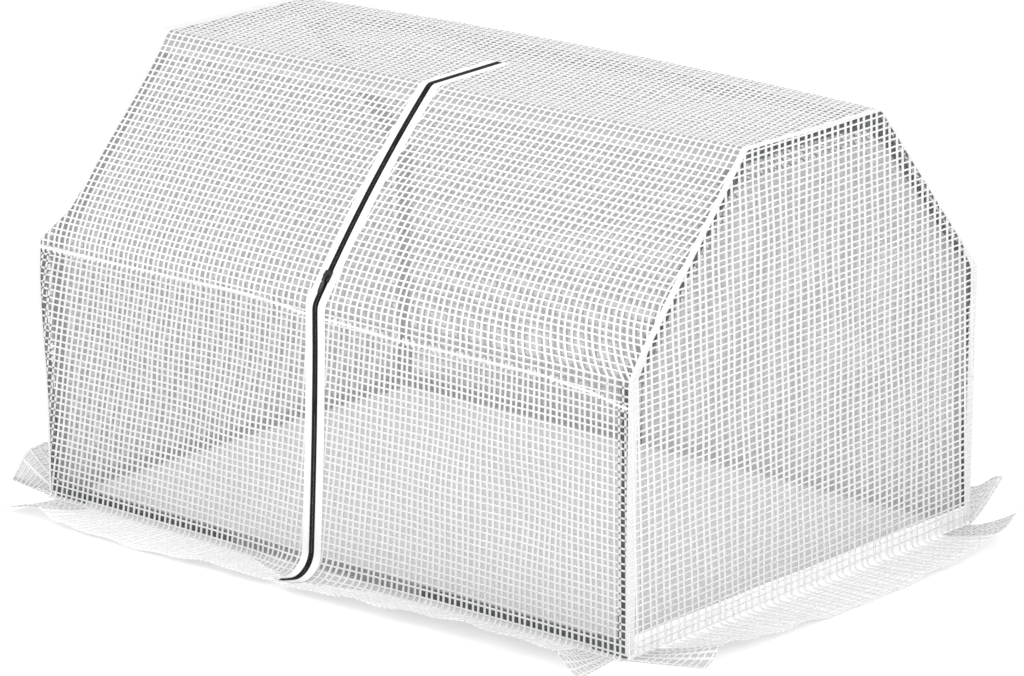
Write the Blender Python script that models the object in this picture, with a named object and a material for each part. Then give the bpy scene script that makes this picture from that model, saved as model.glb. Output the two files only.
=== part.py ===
"""Small tomato greenhouse: a plug-together steel tube frame under a zipped cover of gridded film.

Metres, +Z up. X runs along the tunnel, the zipped front faces -Y, and the ground is z = 0.
"""

import math

import bmesh
import bpy
from mathutils import Matrix, Vector

# Outside of the cover, without the skirt that lies on the ground
COVER_LENGTH = 0.990
COVER_WIDTH = 0.710
COVER_HEIGHT = 0.600

# Centre lines of the hoops: height of the knees, and distance between the two shoulders
KNEE_HEIGHT = 0.349
SHOULDER_SPACING = 0.264

# Frame tube and the plastic sockets that hold it
TUBE_DIAMETER = 0.016
TUBE_WALL = 0.0006
SOCKET_WALL = 0.0020
SOCKET_DEPTH = 0.034
SEAT_DEPTH = 0.012
HUB_SWELL = 0.0008
FOOT_CUT = 0.0015
FIT_GAP = 0.0003

# Film cover
FILM = 0.0005
SLOPE_BOW = 0.008
SKIRT_WIDTH = 0.090
SKIRT_RIPPLE = 0.003
RIPPLE_LENGTH = 0.085
EDGE_CURVE = 1.4
SKEW_REACH = 0.160
RIGHT_FRONT_SKEW = 0.040
LEFT_FRONT_SKEW = 0.015

# How each skirt's outer edge lifts: a place, as a share of its wall's length, and the height there.
# Places run from the left on the front and back walls, from the front on the left one and
# from the back on the right one.
FRONT_FOLDS = ((0.016, 0.004), (0.070, 0.021), (0.110, 0.006), (0.250, 0.002), (0.405, 0.012),
               (0.520, 0.012), (0.640, 0.018), (0.820, 0.028), (0.940, 0.027), (0.984, 0.000))
BACK_FOLDS = ((0.0, 0.004), (0.20, 0.009), (0.40, 0.002), (0.65, 0.010), (0.85, 0.004), (0.94, 0.020), (1.0, 0.046))
LEFT_FOLDS = ((0.0, 0.000), (0.045, 0.036), (0.10, 0.041), (0.22, 0.006), (0.50, 0.008), (0.70, 0.002), (1.0, 0.008))
RIGHT_FOLDS = ((0.0, 0.037), (0.07, 0.020), (0.22, 0.007), (0.42, 0.000), (0.54, 0.000), (0.71, 0.008),
               (0.94, 0.020), (1.0, 0.000))

# Zip: half a chain, its film tape, and the bend where it runs out over the skirt
ZIP_OFFSET = -0.015
ZIP_SLOT = 0.0014
CHAIN_WIDTH = 0.0034
CHAIN_HEIGHT = 0.0018
TAPE_START = 0.0062
TAPE_WIDTH = 0.0100
TAPE_THICKNESS = 0.0004
ZIP_BEND = 0.030
BEND_SPREAD = 0.070
ZIP_ROOF_END = 0.0
PATCH_LENGTH = 0.034
PATCH_WIDTH = 0.040

# Door flaps: the lower corner of each front half folds out along a diagonal
FLAP_TOP_DROP = 0.009
FLAP_CORNER_INSET = 0.016
FLAP_CORNER_RISE = 0.014
FLAP_CHAIN_DROP = 0.012

# Zip slider and its pull tab
SLIDER_LENGTH = 0.0150
SLIDER_PLATE = 0.0012
SLIDER_BACK = 0.0008
SLIDER_FLANGE = 0.0009
SLIDER_BACK_LENGTH = 0.0135
SLIDER_START = 0.040
WEB_WIDTH = 0.0007
WEB_LENGTH = 0.0090
LUG_THICKNESS = 0.0010
LUG_LENGTH = 0.0044
LUG_SPACING = 0.0042
PIN_RADIUS = 0.0006
TAB_LENGTH = 0.0250
TAB_WIDTH = 0.0064
TAB_THICKNESS = 0.0012
TAB_EYE = 0.0011
TAB_EYE_WALL = 0.0009
NECK_LENGTH = 0.0100
GRIP_LENGTH = 0.0160
GRIP_CLIP = 0.0018

# How finely round and curved pieces are cut, and the edges that stay sharp (degrees)
ROUND = 16
BALL_SEGMENTS = 12
BALL_RINGS = 8
SLOPE_ROWS = 6
SLOPE_COLUMNS = 12
ZIP_STEPS = 12
SOFT_STEPS = 44
DOOR_STEPS = 20
BEND_STEPS = 6
SKIRT_ROWS = 4
SHARP_ANGLE = 35
PIVOT_SIZE = 0.030

# Values that follow from the ones above
TUBE_RADIUS = TUBE_DIAMETER / 2
BORE_RADIUS = TUBE_RADIUS + FIT_GAP
SOCKET_RADIUS = BORE_RADIUS + SOCKET_WALL
HUB_RADIUS = SOCKET_RADIUS + HUB_SWELL
SOCKET_REACH = SEAT_DEPTH + SOCKET_DEPTH
FILM_REACH = HUB_RADIUS + FIT_GAP + FILM
HALF_LENGTH = COVER_LENGTH / 2
HALF_WIDTH = COVER_WIDTH / 2
HOOP_X = HALF_LENGTH - FILM_REACH
LEG_Y = HALF_WIDTH - FILM_REACH
RAIL_Z = HUB_RADIUS - FOOT_CUT
TOP_Z = COVER_HEIGHT - FILM_REACH
SHOULDER_Y = SHOULDER_SPACING / 2
SLOPE_ANGLE = math.atan2(TOP_Z - KNEE_HEIGHT, LEG_Y - SHOULDER_Y)
HEM_Z = FILM + FIT_GAP
CHAIN_TOP = FIT_GAP + CHAIN_HEIGHT
SLIDER_FACE = CHAIN_TOP + FIT_GAP
SLIDER_FRONT = SLIDER_FACE + SLIDER_PLATE
EYE_RADIUS = TAB_EYE + TAB_EYE_WALL
PIN_HEIGHT = SLIDER_FRONT + FIT_GAP + EYE_RADIUS
TAIL_ROWS = SKIRT_ROWS // 2


def film_profile(inset):
    """Knee and shoulder of the cover's outer face, moved inwards by inset: (y, z) on the +Y side."""
    reach = FILM_REACH - inset
    half_turn = (math.pi / 2 - SLOPE_ANGLE) / 2
    knee = (LEG_Y + reach, KNEE_HEIGHT + reach * math.tan(half_turn))
    shoulder = (SHOULDER_Y + reach * math.tan(SLOPE_ANGLE / 2), TOP_Z + reach)
    return knee, shoulder


KNEE, SHOULDER = film_profile(0.0)
SLOPE_LENGTH = math.hypot(KNEE[0] - SHOULDER[0], SHOULDER[1] - KNEE[1])
BOW_RADIUS = SLOPE_LENGTH ** 2 / (8 * SLOPE_BOW) + SLOPE_BOW / 2
FLAP_TOP_Z = KNEE[1] - FLAP_TOP_DROP


def clear_scene():
    """Start from nothing, so that only this object's pieces are left."""
    for item in list(bpy.data.objects):
        bpy.data.objects.remove(item, do_unlink=True)


def material(name, colour, roughness, metallic=0.0, alpha=1.0):
    """A plain Principled material."""
    made = bpy.data.materials.new(name)
    made.use_nodes = True
    shader = made.node_tree.nodes["Principled BSDF"]
    shader.inputs["Base Color"].default_value = (*colour, 1.0)
    shader.inputs["Roughness"].default_value = roughness
    shader.inputs["Metallic"].default_value = metallic
    shader.inputs["Alpha"].default_value = alpha
    return made


def add_object(name, mesh, mat, smooth=False):
    """Link a mesh as a named object with its material."""
    mesh.name = name
    if smooth:
        mesh.shade_smooth()
        mesh.set_sharp_from_angle(angle=math.radians(SHARP_ANGLE))
    made = bpy.data.objects.new(name, mesh)
    made.data.materials.clear()
    made.data.materials.append(mat)
    bpy.context.scene.collection.objects.link(made)
    return made


def mesh_from(points, faces):
    """A mesh with its normals pointing out."""
    mesh = bpy.data.meshes.new("shape")
    mesh.from_pydata([tuple(p) for p in points], [], faces)
    work = bmesh.new()
    work.from_mesh(mesh)
    bmesh.ops.recalc_face_normals(work, faces=work.faces[:])
    work.to_mesh(mesh)
    work.free()
    return mesh


def turn_to(direction):
    """The rotation that takes +Z to a direction."""
    return Vector(direction).to_track_quat("Z", "Y").to_matrix().to_4x4()


def rod_mesh(start, end, radius):
    """A closed round rod between two points."""
    start, end = Vector(start), Vector(end)
    along = end - start
    work = bmesh.new()
    place = Matrix.Translation((start + end) / 2) @ turn_to(along)
    bmesh.ops.create_cone(work, cap_ends=True, segments=ROUND, radius1=radius, radius2=radius,
                          depth=along.length, matrix=place)
    mesh = bpy.data.meshes.new("rod")
    work.to_mesh(mesh)
    work.free()
    return mesh


def ball_mesh(centre, radius):
    """A closed ball, its poles up and down."""
    work = bmesh.new()
    bmesh.ops.create_uvsphere(work, u_segments=BALL_SEGMENTS, v_segments=BALL_RINGS, radius=radius,
                              matrix=Matrix.Translation(centre))
    mesh = bpy.data.meshes.new("ball")
    work.to_mesh(mesh)
    work.free()
    return mesh


def box_mesh(low, high):
    """A closed box between two corners."""
    low, high = Vector(low), Vector(high)
    work = bmesh.new()
    place = Matrix.Translation((low + high) / 2) @ Matrix.Diagonal((*(high - low), 1.0))
    bmesh.ops.create_cube(work, size=1.0, matrix=place)
    mesh = bpy.data.meshes.new("box")
    work.to_mesh(mesh)
    work.free()
    return mesh


def combine(base, others, operation):
    """The Boolean of a mesh with a list of meshes, as a new mesh."""
    body = bpy.data.objects.new("body", base)
    bpy.context.scene.collection.objects.link(body)
    helpers = []
    for number, other in enumerate(others):
        helper = bpy.data.objects.new("cutter_%d" % number, other)
        bpy.context.scene.collection.objects.link(helper)
        cut = body.modifiers.new("cut", "BOOLEAN")
        cut.operation = operation
        cut.solver = "EXACT"
        cut.object = helper
        helpers.append(helper)
    view = bpy.context.evaluated_depsgraph_get()
    result = bpy.data.meshes.new_from_object(body.evaluated_get(view))
    for item in [body, *helpers]:
        bpy.data.objects.remove(item, do_unlink=True)
    return result


def pipe_mesh(start, end, radius, wall):
    """An open-ended pipe between two points."""
    start, end = Vector(start), Vector(end)
    turn = turn_to(end - start).to_3x3()
    points = []
    for centre in (start, end):
        for ring in (radius, radius - wall):
            for step in range(ROUND):
                angle = 2 * math.pi * step / ROUND
                points.append(centre + turn @ Vector((ring * math.cos(angle), ring * math.sin(angle), 0)))
    faces = []
    outer_low, inner_low, outer_high, inner_high = (ROUND * k for k in range(4))
    for first, second in ((outer_low, outer_high), (inner_low, inner_high),
                          (outer_low, inner_low), (outer_high, inner_high)):
        for step in range(ROUND):
            after = (step + 1) % ROUND
            faces.append((first + step, first + after, second + after, second + step))
    return mesh_from(points, faces)


def plate_mesh(outline, lift):
    """A flat plate: a closed outline and the same outline moved by lift."""
    count = len(outline)
    points = [Vector(p) for p in outline] + [Vector(p) + Vector(lift) for p in outline]
    faces = [tuple(range(count)), tuple(range(2 * count - 1, count - 1, -1))]
    for k in range(count):
        after = (k + 1) % count
        faces.append((k, after, count + after, count + k))
    return mesh_from(points, faces)


def sheet_mesh(rows, inward):
    """A sheet with thickness: rows of points on its outer face, and a function for the way in."""
    count, width = len(rows), len(rows[0])
    outer = [Vector(p) for row in rows for p in row]
    inner = [Vector(p) + Vector(inward(Vector(p))) for row in rows for p in row]
    size = count * width
    faces = []
    for r in range(count - 1):
        for c in range(width - 1):
            a = r * width + c
            for half in ((a, a + 1, a + width + 1), (a, a + width + 1, a + width)):
                faces.append(half)
                faces.append(tuple(size + k for k in reversed(half)))
    rim = list(range(width))
    rim += [r * width + width - 1 for r in range(1, count)]
    rim += [(count - 1) * width + c for c in range(width - 2, -1, -1)]
    rim += [r * width for r in range(count - 2, 0, -1)]
    for k, a in enumerate(rim):
        b = rim[(k + 1) % len(rim)]
        faces.append((a, b, size + b, size + a))
    return mesh_from(outer + inner, faces)


def spread(low, high, steps):
    """Evenly spaced values from low to high."""
    return [low + (high - low) * k / steps for k in range(steps + 1)]


# Frame

def hoop_points(side_x):
    """Named centre points of one hoop."""
    points = {}
    for name, side_y in (("front", -1), ("back", 1)):
        points["foot_" + name] = Vector((side_x * HOOP_X, side_y * LEG_Y, RAIL_Z))
        points["knee_" + name] = Vector((side_x * HOOP_X, side_y * LEG_Y, KNEE_HEIGHT))
        points["shoulder_" + name] = Vector((side_x * HOOP_X, side_y * SHOULDER_Y, TOP_Z))
    return points


def tube_between(name, start, end, mat):
    """A frame tube plugged into the sockets at two hubs."""
    along = (end - start).normalized() * SEAT_DEPTH
    return add_object(name, pipe_mesh(start + along, end - along, TUBE_RADIUS, TUBE_WALL), mat, True)


def socket_mesh(hub, ways):
    """A moulded connector: a ball hub and one socket for each way that a tube leaves."""
    arms = [rod_mesh(hub, hub + way.normalized() * SOCKET_REACH, SOCKET_RADIUS) for way in ways]
    bores = []
    for way in ways:
        unit = way.normalized()
        bores.append(rod_mesh(hub + unit * SEAT_DEPTH, hub + unit * (SOCKET_REACH + SEAT_DEPTH), BORE_RADIUS))
    joined = combine(ball_mesh(hub, HUB_RADIUS), arms, "UNION")
    return combine(joined, bores, "DIFFERENCE")


def foot_mesh(hub, ways):
    """A corner connector, its underside cut flat where it stands on the ground."""
    reach = 2 * SOCKET_REACH
    ground = box_mesh((hub.x - reach, hub.y - reach, -HUB_RADIUS), (hub.x + reach, hub.y + reach, 0))
    return combine(socket_mesh(hub, ways), [ground], "DIFFERENCE")


def build_hoop(end, side_x, mats):
    """The tubes and connectors of one end hoop."""
    at = hoop_points(side_x)
    inward = Vector((-side_x, 0, 0))
    for name, side_y in (("front", -1), ("back", 1)):
        foot, knee, shoulder = (at[k + name] for k in ("foot_", "knee_", "shoulder_"))
        across = Vector((0, -side_y, 0))
        place = "%s_%s" % (name, end)
        tube_between("leg_tube_" + place, foot, knee, mats["tube"])
        tube_between("slope_tube_" + place, knee, shoulder, mats["tube"])
        foot_shape = foot_mesh(foot, [knee - foot, inward, across])
        add_object("corner_foot_" + place, foot_shape, mats["socket"], True)
        knee_shape = socket_mesh(knee, [foot - knee, shoulder - knee])
        add_object("knee_elbow_" + place, knee_shape, mats["socket"], True)
        shoulder_shape = socket_mesh(shoulder, [knee - shoulder, across, inward])
        add_object("shoulder_joint_" + place, shoulder_shape, mats["socket"], True)
    tube_between("top_tube_" + end, at["shoulder_front"], at["shoulder_back"], mats["tube"])
    tube_between("ground_rail_" + end, at["foot_front"], at["foot_back"], mats["tube"])


def build_long_tubes(mats):
    """The tubes that run along the tunnel: two on the ground and one under each roof edge."""
    left, right = hoop_points(-1), hoop_points(1)
    for name in ("front", "back"):
        tube_between("ground_rail_" + name, left["foot_" + name], right["foot_" + name], mats["tube"])
        tube_between("roof_rail_" + name, left["shoulder_" + name], right["shoulder_" + name], mats["tube"])


# Film cover

def bow_height(share):
    """How far a slope stands out of its straight line, as a circular arc, at a share of its length."""
    across = SLOPE_LENGTH * (share - 0.5)
    return math.sqrt(BOW_RADIUS ** 2 - across ** 2) - (BOW_RADIUS - SLOPE_BOW)


def slope_point(side_y, x, share, height=0.0):
    """A point on the outer face of a slope, height above it, bowed most in line with the zip."""
    end_x = HALF_LENGTH if x > ZIP_OFFSET else -HALF_LENGTH
    fullness = 1 - ((x - ZIP_OFFSET) / (end_x - ZIP_OFFSET)) ** 2
    out = Vector((0, side_y * math.sin(SLOPE_ANGLE), math.cos(SLOPE_ANGLE)))
    low = Vector((x, side_y * KNEE[0], KNEE[1]))
    high = Vector((x, side_y * SHOULDER[0], SHOULDER[1]))
    return low.lerp(high, share) + out * (fullness * bow_height(share) + height)


def slope_mesh(side_y, low_x, high_x, columns):
    """One slope of the cover between two places along the tunnel."""
    trim = FIT_GAP / SLOPE_LENGTH
    shares = spread(trim, 1 - trim, SLOPE_ROWS)
    rows = [[slope_point(side_y, x, s) for x in spread(low_x, high_x, columns)] for s in shares]
    way_in = Vector((0, -side_y * math.sin(SLOPE_ANGLE), -math.cos(SLOPE_ANGLE))) * FILM
    return sheet_mesh(rows, lambda point: way_in)


def build_slopes(mats):
    """The two halves of the front slope, either side of the zip, and the back slope."""
    half_slot = ZIP_SLOT / 2
    half_columns = SLOPE_COLUMNS // 2
    left = slope_mesh(-1, -HALF_LENGTH, ZIP_OFFSET - half_slot, half_columns)
    right = slope_mesh(-1, ZIP_OFFSET + half_slot, HALF_LENGTH, half_columns)
    back = slope_mesh(1, -HALF_LENGTH, HALF_LENGTH, SLOPE_COLUMNS)
    add_object("front_slope_left", left, mats["film"], True)
    add_object("front_slope_right", right, mats["film"], True)
    add_object("back_slope", back, mats["film"], True)


def build_roof(mats):
    """The flat top between the slopes, slit from its front edge for the end of the zip."""
    half_slot = ZIP_SLOT / 2
    edge = SHOULDER[0] - FIT_GAP
    outline = [(-HALF_LENGTH, -edge), (ZIP_OFFSET - half_slot, -edge), (ZIP_OFFSET - half_slot, ZIP_ROOF_END),
               (ZIP_OFFSET + half_slot, ZIP_ROOF_END), (ZIP_OFFSET + half_slot, -edge),
               (HALF_LENGTH, -edge), (HALF_LENGTH, edge), (-HALF_LENGTH, edge)]
    points = [(x, y, COVER_HEIGHT) for x, y in outline]
    add_object("roof_panel", plate_mesh(points, (0, 0, -FILM)), mats["film"])


def build_back_wall(mats):
    """The upright back of the cover, from the ground to the knees."""
    top = KNEE[1] - FIT_GAP
    outline = [(-HALF_LENGTH, HEM_Z), (HALF_LENGTH, HEM_Z), (HALF_LENGTH, top), (-HALF_LENGTH, top)]
    points = [(x, HALF_WIDTH, z) for x, z in outline]
    add_object("back_wall", plate_mesh(points, (0, -FILM, 0)), mats["film"])


def build_ends(mats):
    """The two six-sided end panels, set just inside the long sheets."""
    knee, shoulder = film_profile(FILM + FIT_GAP)
    outline = [(-knee[0], HEM_Z), (knee[0], HEM_Z), knee, shoulder,
               (-shoulder[0], shoulder[1]), (-knee[0], knee[1])]
    for name, side in (("left", -1), ("right", 1)):
        points = [(side * HALF_LENGTH, y, z) for y, z in outline]
        add_object("end_panel_" + name, plate_mesh(points, (-side * FILM, 0, 0)), mats["film"])


# Front wall: on each side of the zip a fixed upper corner and a lower flap that folds out

def fold_line(side_x):
    """The fold of one door flap on the wall's outer face: its outer foot, and its top at the zip."""
    foot = Vector((side_x * (HALF_LENGTH - FLAP_CORNER_INSET), -HALF_WIDTH, FLAP_CORNER_RISE))
    top = Vector((ZIP_OFFSET + side_x * ZIP_SLOT / 2, -HALF_WIDTH, FLAP_TOP_Z))
    return foot, top


def nearness(x):
    """1 in line with the zip's tapes, falling to 0 along the front."""
    away = max(0.0, abs(x - ZIP_OFFSET) - TAPE_START - TAPE_WIDTH - FIT_GAP)
    return math.exp(-(away / BEND_SPREAD) ** 2)


def bend_height(x):
    """How high above the ground the front film starts to turn out into the skirt."""
    return HEM_Z + ZIP_BEND * nearness(x)


def door_columns(side_x):
    """Places along one door flap, from the zip past its tape to the outer foot."""
    foot, top = fold_line(side_x)
    return [top.x] + spread(ZIP_OFFSET + side_x * (TAPE_START + TAPE_WIDTH), foot.x, DOOR_STEPS)


def wall_corner(name, side_x, mats):
    """The fixed part of one front half: above the fold, and outside the flap's corner."""
    foot, top = fold_line(side_x)
    up = KNEE[1] - FIT_GAP
    shift = Vector((0, 0, FIT_GAP))
    corner_x = foot.x + side_x * FIT_GAP
    outline = [foot + shift, Vector((corner_x, -HALF_WIDTH, foot.z)), Vector((corner_x, -HALF_WIDTH, HEM_Z)),
               Vector((side_x * HALF_LENGTH, -HALF_WIDTH, HEM_Z)),
               Vector((side_x * HALF_LENGTH, -HALF_WIDTH, up)),
               Vector((top.x, -HALF_WIDTH, up)), top + shift]
    add_object(name, plate_mesh(outline, (0, FILM, 0)), mats["film"])


def flap_mesh(side_x):
    """One lower flap: the fold above it, the zip's edge, and a hem that rises towards the zip."""
    foot, top = fold_line(side_x)
    hem = [Vector((x, -HALF_WIDTH, bend_height(x) + FIT_GAP)) for x in door_columns(side_x)]
    return plate_mesh([foot, top] + hem, (0, FILM, 0))


def fold_height(folds, share):
    """How high a skirt's outer edge stands at a share of its wall's length, eased from place to place."""
    for (low, low_lift), (high, high_lift) in zip(folds, folds[1:]):
        if share <= high:
            between = max(0.0, share - low) / (high - low)
            ease = 0.5 - 0.5 * math.cos(math.pi * between)
            return low_lift + (high_lift - low_lift) * ease
    return folds[-1][1]


def ripple(along):
    """The small ripples of a skirt's outer edge."""
    return SKIRT_RIPPLE * (0.5 - 0.5 * math.cos(2 * math.pi * along / RIPPLE_LENGTH))


def skirt_reach(lift):
    """How far out the skirt's edge lies when it is lifted, the film keeping its width."""
    return math.sqrt(SKIRT_WIDTH ** 2 - lift ** 2)


def front_skirt_section(x):
    """Points on the top of the front skirt: round the bend, then out over the ground."""
    radius = bend_height(x) - FILM
    folds = fold_height(FRONT_FOLDS, (x + HALF_LENGTH) / COVER_LENGTH)
    lift = folds + ripple(x) * (1 - nearness(x))
    end = HALF_LENGTH - FLAP_CORNER_INSET
    spare = max(0.0, 1 - (end - abs(x)) / SKEW_REACH)
    points = []
    for turn in spread(0, math.pi / 2, BEND_STEPS):
        out = radius * (1 - math.cos(turn))
        points.append(Vector((x, -HALF_WIDTH - out, FILM + radius * (1 - math.sin(turn)))))
    for share in spread(0, 1, SKIRT_ROWS)[1:]:
        out = radius + (skirt_reach(lift) - radius) * share
        shift = math.copysign(FLAP_CORNER_INSET * spare * share, x)
        points.append(Vector((x + shift, -HALF_WIDTH - out, FILM + lift * share ** EDGE_CURVE)))
    return points


def front_skirt_mesh(side_x):
    """The skirt below one flap, one piece of film with its turn out of the wall."""
    sections = [front_skirt_section(x) for x in door_columns(side_x)]
    rows = [list(row) for row in zip(*sections)]

    def way_in(point):
        """Down under the skirt, and inwards where the film still stands upright."""
        radius = bend_height(point.x) - FILM
        out = -HALF_WIDTH - point.y
        cosine = max(0.0, min(1.0, 1 - out / radius))
        sine = math.sqrt(1 - cosine ** 2)
        return Vector((0, cosine, -sine)) * FILM

    return sheet_mesh(rows, way_in)


# Zip

def zip_frames_door():
    """Points down the door part of the zip, each with its way out from the film."""
    section = front_skirt_section(ZIP_OFFSET)[:BEND_STEPS + 1 + TAIL_ROWS]
    points = [Vector((ZIP_OFFSET, -HALF_WIDTH, FLAP_TOP_Z - FLAP_CHAIN_DROP))] + section
    frames = [(points[0], Vector((0, -1, 0)))]
    for before, point, after in zip(points, points[1:], points[2:]):
        frames.append((point, mitre(way_out(before, point), way_out(point, after))))
    frames.append((points[-1], way_out(points[-2], points[-1])))
    return frames


def way_out(start, end):
    """The outward side of a line that runs down the front and out over the skirt."""
    return (end - start).cross(Vector((1, 0, 0))).normalized()


def zip_frames_upper():
    """Points up the fixed part of the zip: over the knee, up the slope and onto the roof."""
    slope_out = Vector((0, -math.sin(SLOPE_ANGLE), math.cos(SLOPE_ANGLE)))
    front, up = Vector((0, -1, 0)), Vector((0, 0, 1))
    x = ZIP_OFFSET
    frames = [(Vector((x, -HALF_WIDTH, FLAP_TOP_Z + FIT_GAP)), front)]
    frames.append((Vector((x, -KNEE[0], KNEE[1])), mitre(front, slope_out)))
    for share in spread(0, 1, ZIP_STEPS)[1:-1]:
        across = SLOPE_LENGTH * (share - 0.5)
        lean = math.asin(across / BOW_RADIUS)
        turn = Matrix.Rotation(-lean, 3, "X")
        frames.append((slope_point(-1, x, share), turn @ slope_out))
    frames.append((Vector((x, -SHOULDER[0], SHOULDER[1])), mitre(slope_out, up)))
    frames.append((Vector((x, ZIP_ROOF_END, COVER_HEIGHT)), up))
    return frames


def mitre(first, second):
    """The way out at a crease, long enough that both sides keep their height."""
    middle = (first + second).normalized()
    return middle / middle.dot(first)


def strip_mesh(frames, inner_x, outer_x, low, high):
    """A strip along the zip between two distances from its middle and two heights above the film."""
    points, faces = [], []
    for point, out in frames:
        for x, height in ((inner_x, low), (outer_x, low), (outer_x, high), (inner_x, high)):
            points.append(point + Vector((x, 0, 0)) + out * height)
    for k in range(len(frames) - 1):
        for corner in range(4):
            after = (corner + 1) % 4
            faces.append((4 * k + corner, 4 * k + after, 4 * k + 4 + after, 4 * k + 4 + corner))
    faces.append((0, 1, 2, 3))
    last = 4 * (len(frames) - 1)
    faces.append((last + 3, last + 2, last + 1, last))
    return mesh_from(points, faces)


def chain_and_tape(place, side_x, frames, mats):
    """One half of the zip: the row of teeth, and the film tape that it is sewn along."""
    inner = side_x * ZIP_SLOT / 2
    chain = strip_mesh(frames, inner, inner + side_x * CHAIN_WIDTH, FIT_GAP, CHAIN_TOP)
    tape = strip_mesh(frames, side_x * TAPE_START, side_x * (TAPE_START + TAPE_WIDTH),
                      FIT_GAP, FIT_GAP + TAPE_THICKNESS)
    return (add_object("zip_chain_" + place, chain, mats["zip"]),
            add_object("zip_tape_" + place, tape, mats["tape"]))


def build_upper_zip(mats):
    """The closed part of the zip, and the patch over its end on the roof."""
    frames = zip_frames_upper()
    chain_and_tape("upper_left", -1, frames, mats)
    chain_and_tape("upper_right", 1, frames, mats)
    low = (ZIP_OFFSET - PATCH_WIDTH / 2, ZIP_ROOF_END + FIT_GAP, COVER_HEIGHT + FIT_GAP)
    high = (ZIP_OFFSET + PATCH_WIDTH / 2, ZIP_ROOF_END + PATCH_LENGTH, COVER_HEIGHT + FIT_GAP + TAPE_THICKNESS)
    add_object("zip_end_patch", box_mesh(low, high), mats["tape"])


# Moving parts, each hung on an empty that stands on its joint's axis

def pivot(name, point, axis, parent=None):
    """An empty on a joint's axis, its Z along that axis."""
    made = bpy.data.objects.new(name, None)
    bpy.context.scene.collection.objects.link(made)
    made.empty_display_size = PIVOT_SIZE
    place = Matrix.Translation(point) @ turn_to(axis)
    if parent is not None:
        made.parent = parent
        place = parent_place(parent).inverted() @ place
    made.matrix_basis = place
    return made


def parent_place(item):
    """An empty's place in the world, worked out from its parents."""
    place = item.matrix_basis.copy()
    if item.parent is not None:
        place = parent_place(item.parent) @ place
    return place


def hang(item, anchor):
    """Parent a piece to its pivot, with its mesh left where it is in the world."""
    item.data.transform(parent_place(anchor).inverted())
    item.parent = anchor
    return item


def build_door(name, side_x, mats):
    """One lower flap with its skirt, zip half and tape, on the fold that it swings about."""
    foot, top = fold_line(side_x)
    anchor = pivot("door_%s_fold" % name, foot, (top - foot) * side_x)
    hang(add_object("door_flap_" + name, flap_mesh(side_x), mats["film"]), anchor)
    hang(add_object("skirt_front_" + name, front_skirt_mesh(side_x), mats["film"], True), anchor)
    for item in chain_and_tape("door_" + name, side_x, zip_frames_door(), mats):
        hang(item, anchor)


def ground_skirt_mesh(place, length, folds, start_skew, end_skew):
    """A skirt on the ground: rows run out from the crease, columns along it, its ends cut askew."""
    rows = []
    for share in spread(0, 1, SKIRT_ROWS):
        row = []
        for step in spread(0, 1, SOFT_STEPS):
            from_start = length * step
            lift = fold_height(folds, step) + ripple(from_start)
            near_start = max(0.0, 1 - from_start / SKEW_REACH)
            near_end = max(0.0, 1 - (length - from_start) / SKEW_REACH)
            shift = (start_skew * near_start - end_skew * near_end) * share
            out = FIT_GAP + (skirt_reach(lift) - FIT_GAP) * share
            row.append(place @ Vector((from_start - length / 2 + shift, out, FILM + lift * share ** EDGE_CURVE)))
        rows.append(row)
    return sheet_mesh(rows, lambda point: Vector((0, 0, -FILM)))


def build_skirts(mats):
    """The back and end skirts, each on the crease where it leaves its wall."""
    back = Matrix.Translation((0, HALF_WIDTH, 0))
    left = Matrix.Translation((-HALF_LENGTH, 0, 0)) @ Matrix.Rotation(math.pi / 2, 4, "Z")
    right = Matrix.Translation((HALF_LENGTH, 0, 0)) @ Matrix.Rotation(-math.pi / 2, 4, "Z")
    plan = (
        ("back", back, COVER_LENGTH, BACK_FOLDS, 0.0, 0.0),
        ("left", left, COVER_WIDTH, LEFT_FOLDS, LEFT_FRONT_SKEW, 0.0),
        ("right", right, COVER_WIDTH, RIGHT_FOLDS, 0.0, RIGHT_FRONT_SKEW),
    )
    for name, place, length, folds, start_skew, end_skew in plan:
        crease = place @ Vector((0, FIT_GAP, FILM))
        axis = place.to_3x3() @ Vector((1, 0, 0))
        anchor = pivot("skirt_%s_crease" % name, crease, axis)
        shape = ground_skirt_mesh(place, length, folds, start_skew, end_skew)
        hang(add_object("skirt_" + name, shape, mats["film"], True), anchor)


def slope_frame():
    """The slider's own frame at rest: Z out of the slope, Y up along it, at the zip's middle."""
    share = SLIDER_START / SLOPE_LENGTH
    lean = math.asin(SLOPE_LENGTH * (share - 0.5) / BOW_RADIUS)
    out = Matrix.Rotation(-lean, 3, "X") @ Vector((0, -math.sin(SLOPE_ANGLE), math.cos(SLOPE_ANGLE)))
    up = out.cross(Vector((1, 0, 0)))
    turn = Matrix((Vector((1, 0, 0)), up, out)).transposed()
    return Matrix.Translation(slope_point(-1, ZIP_OFFSET, share)) @ turn.to_4x4()


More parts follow.
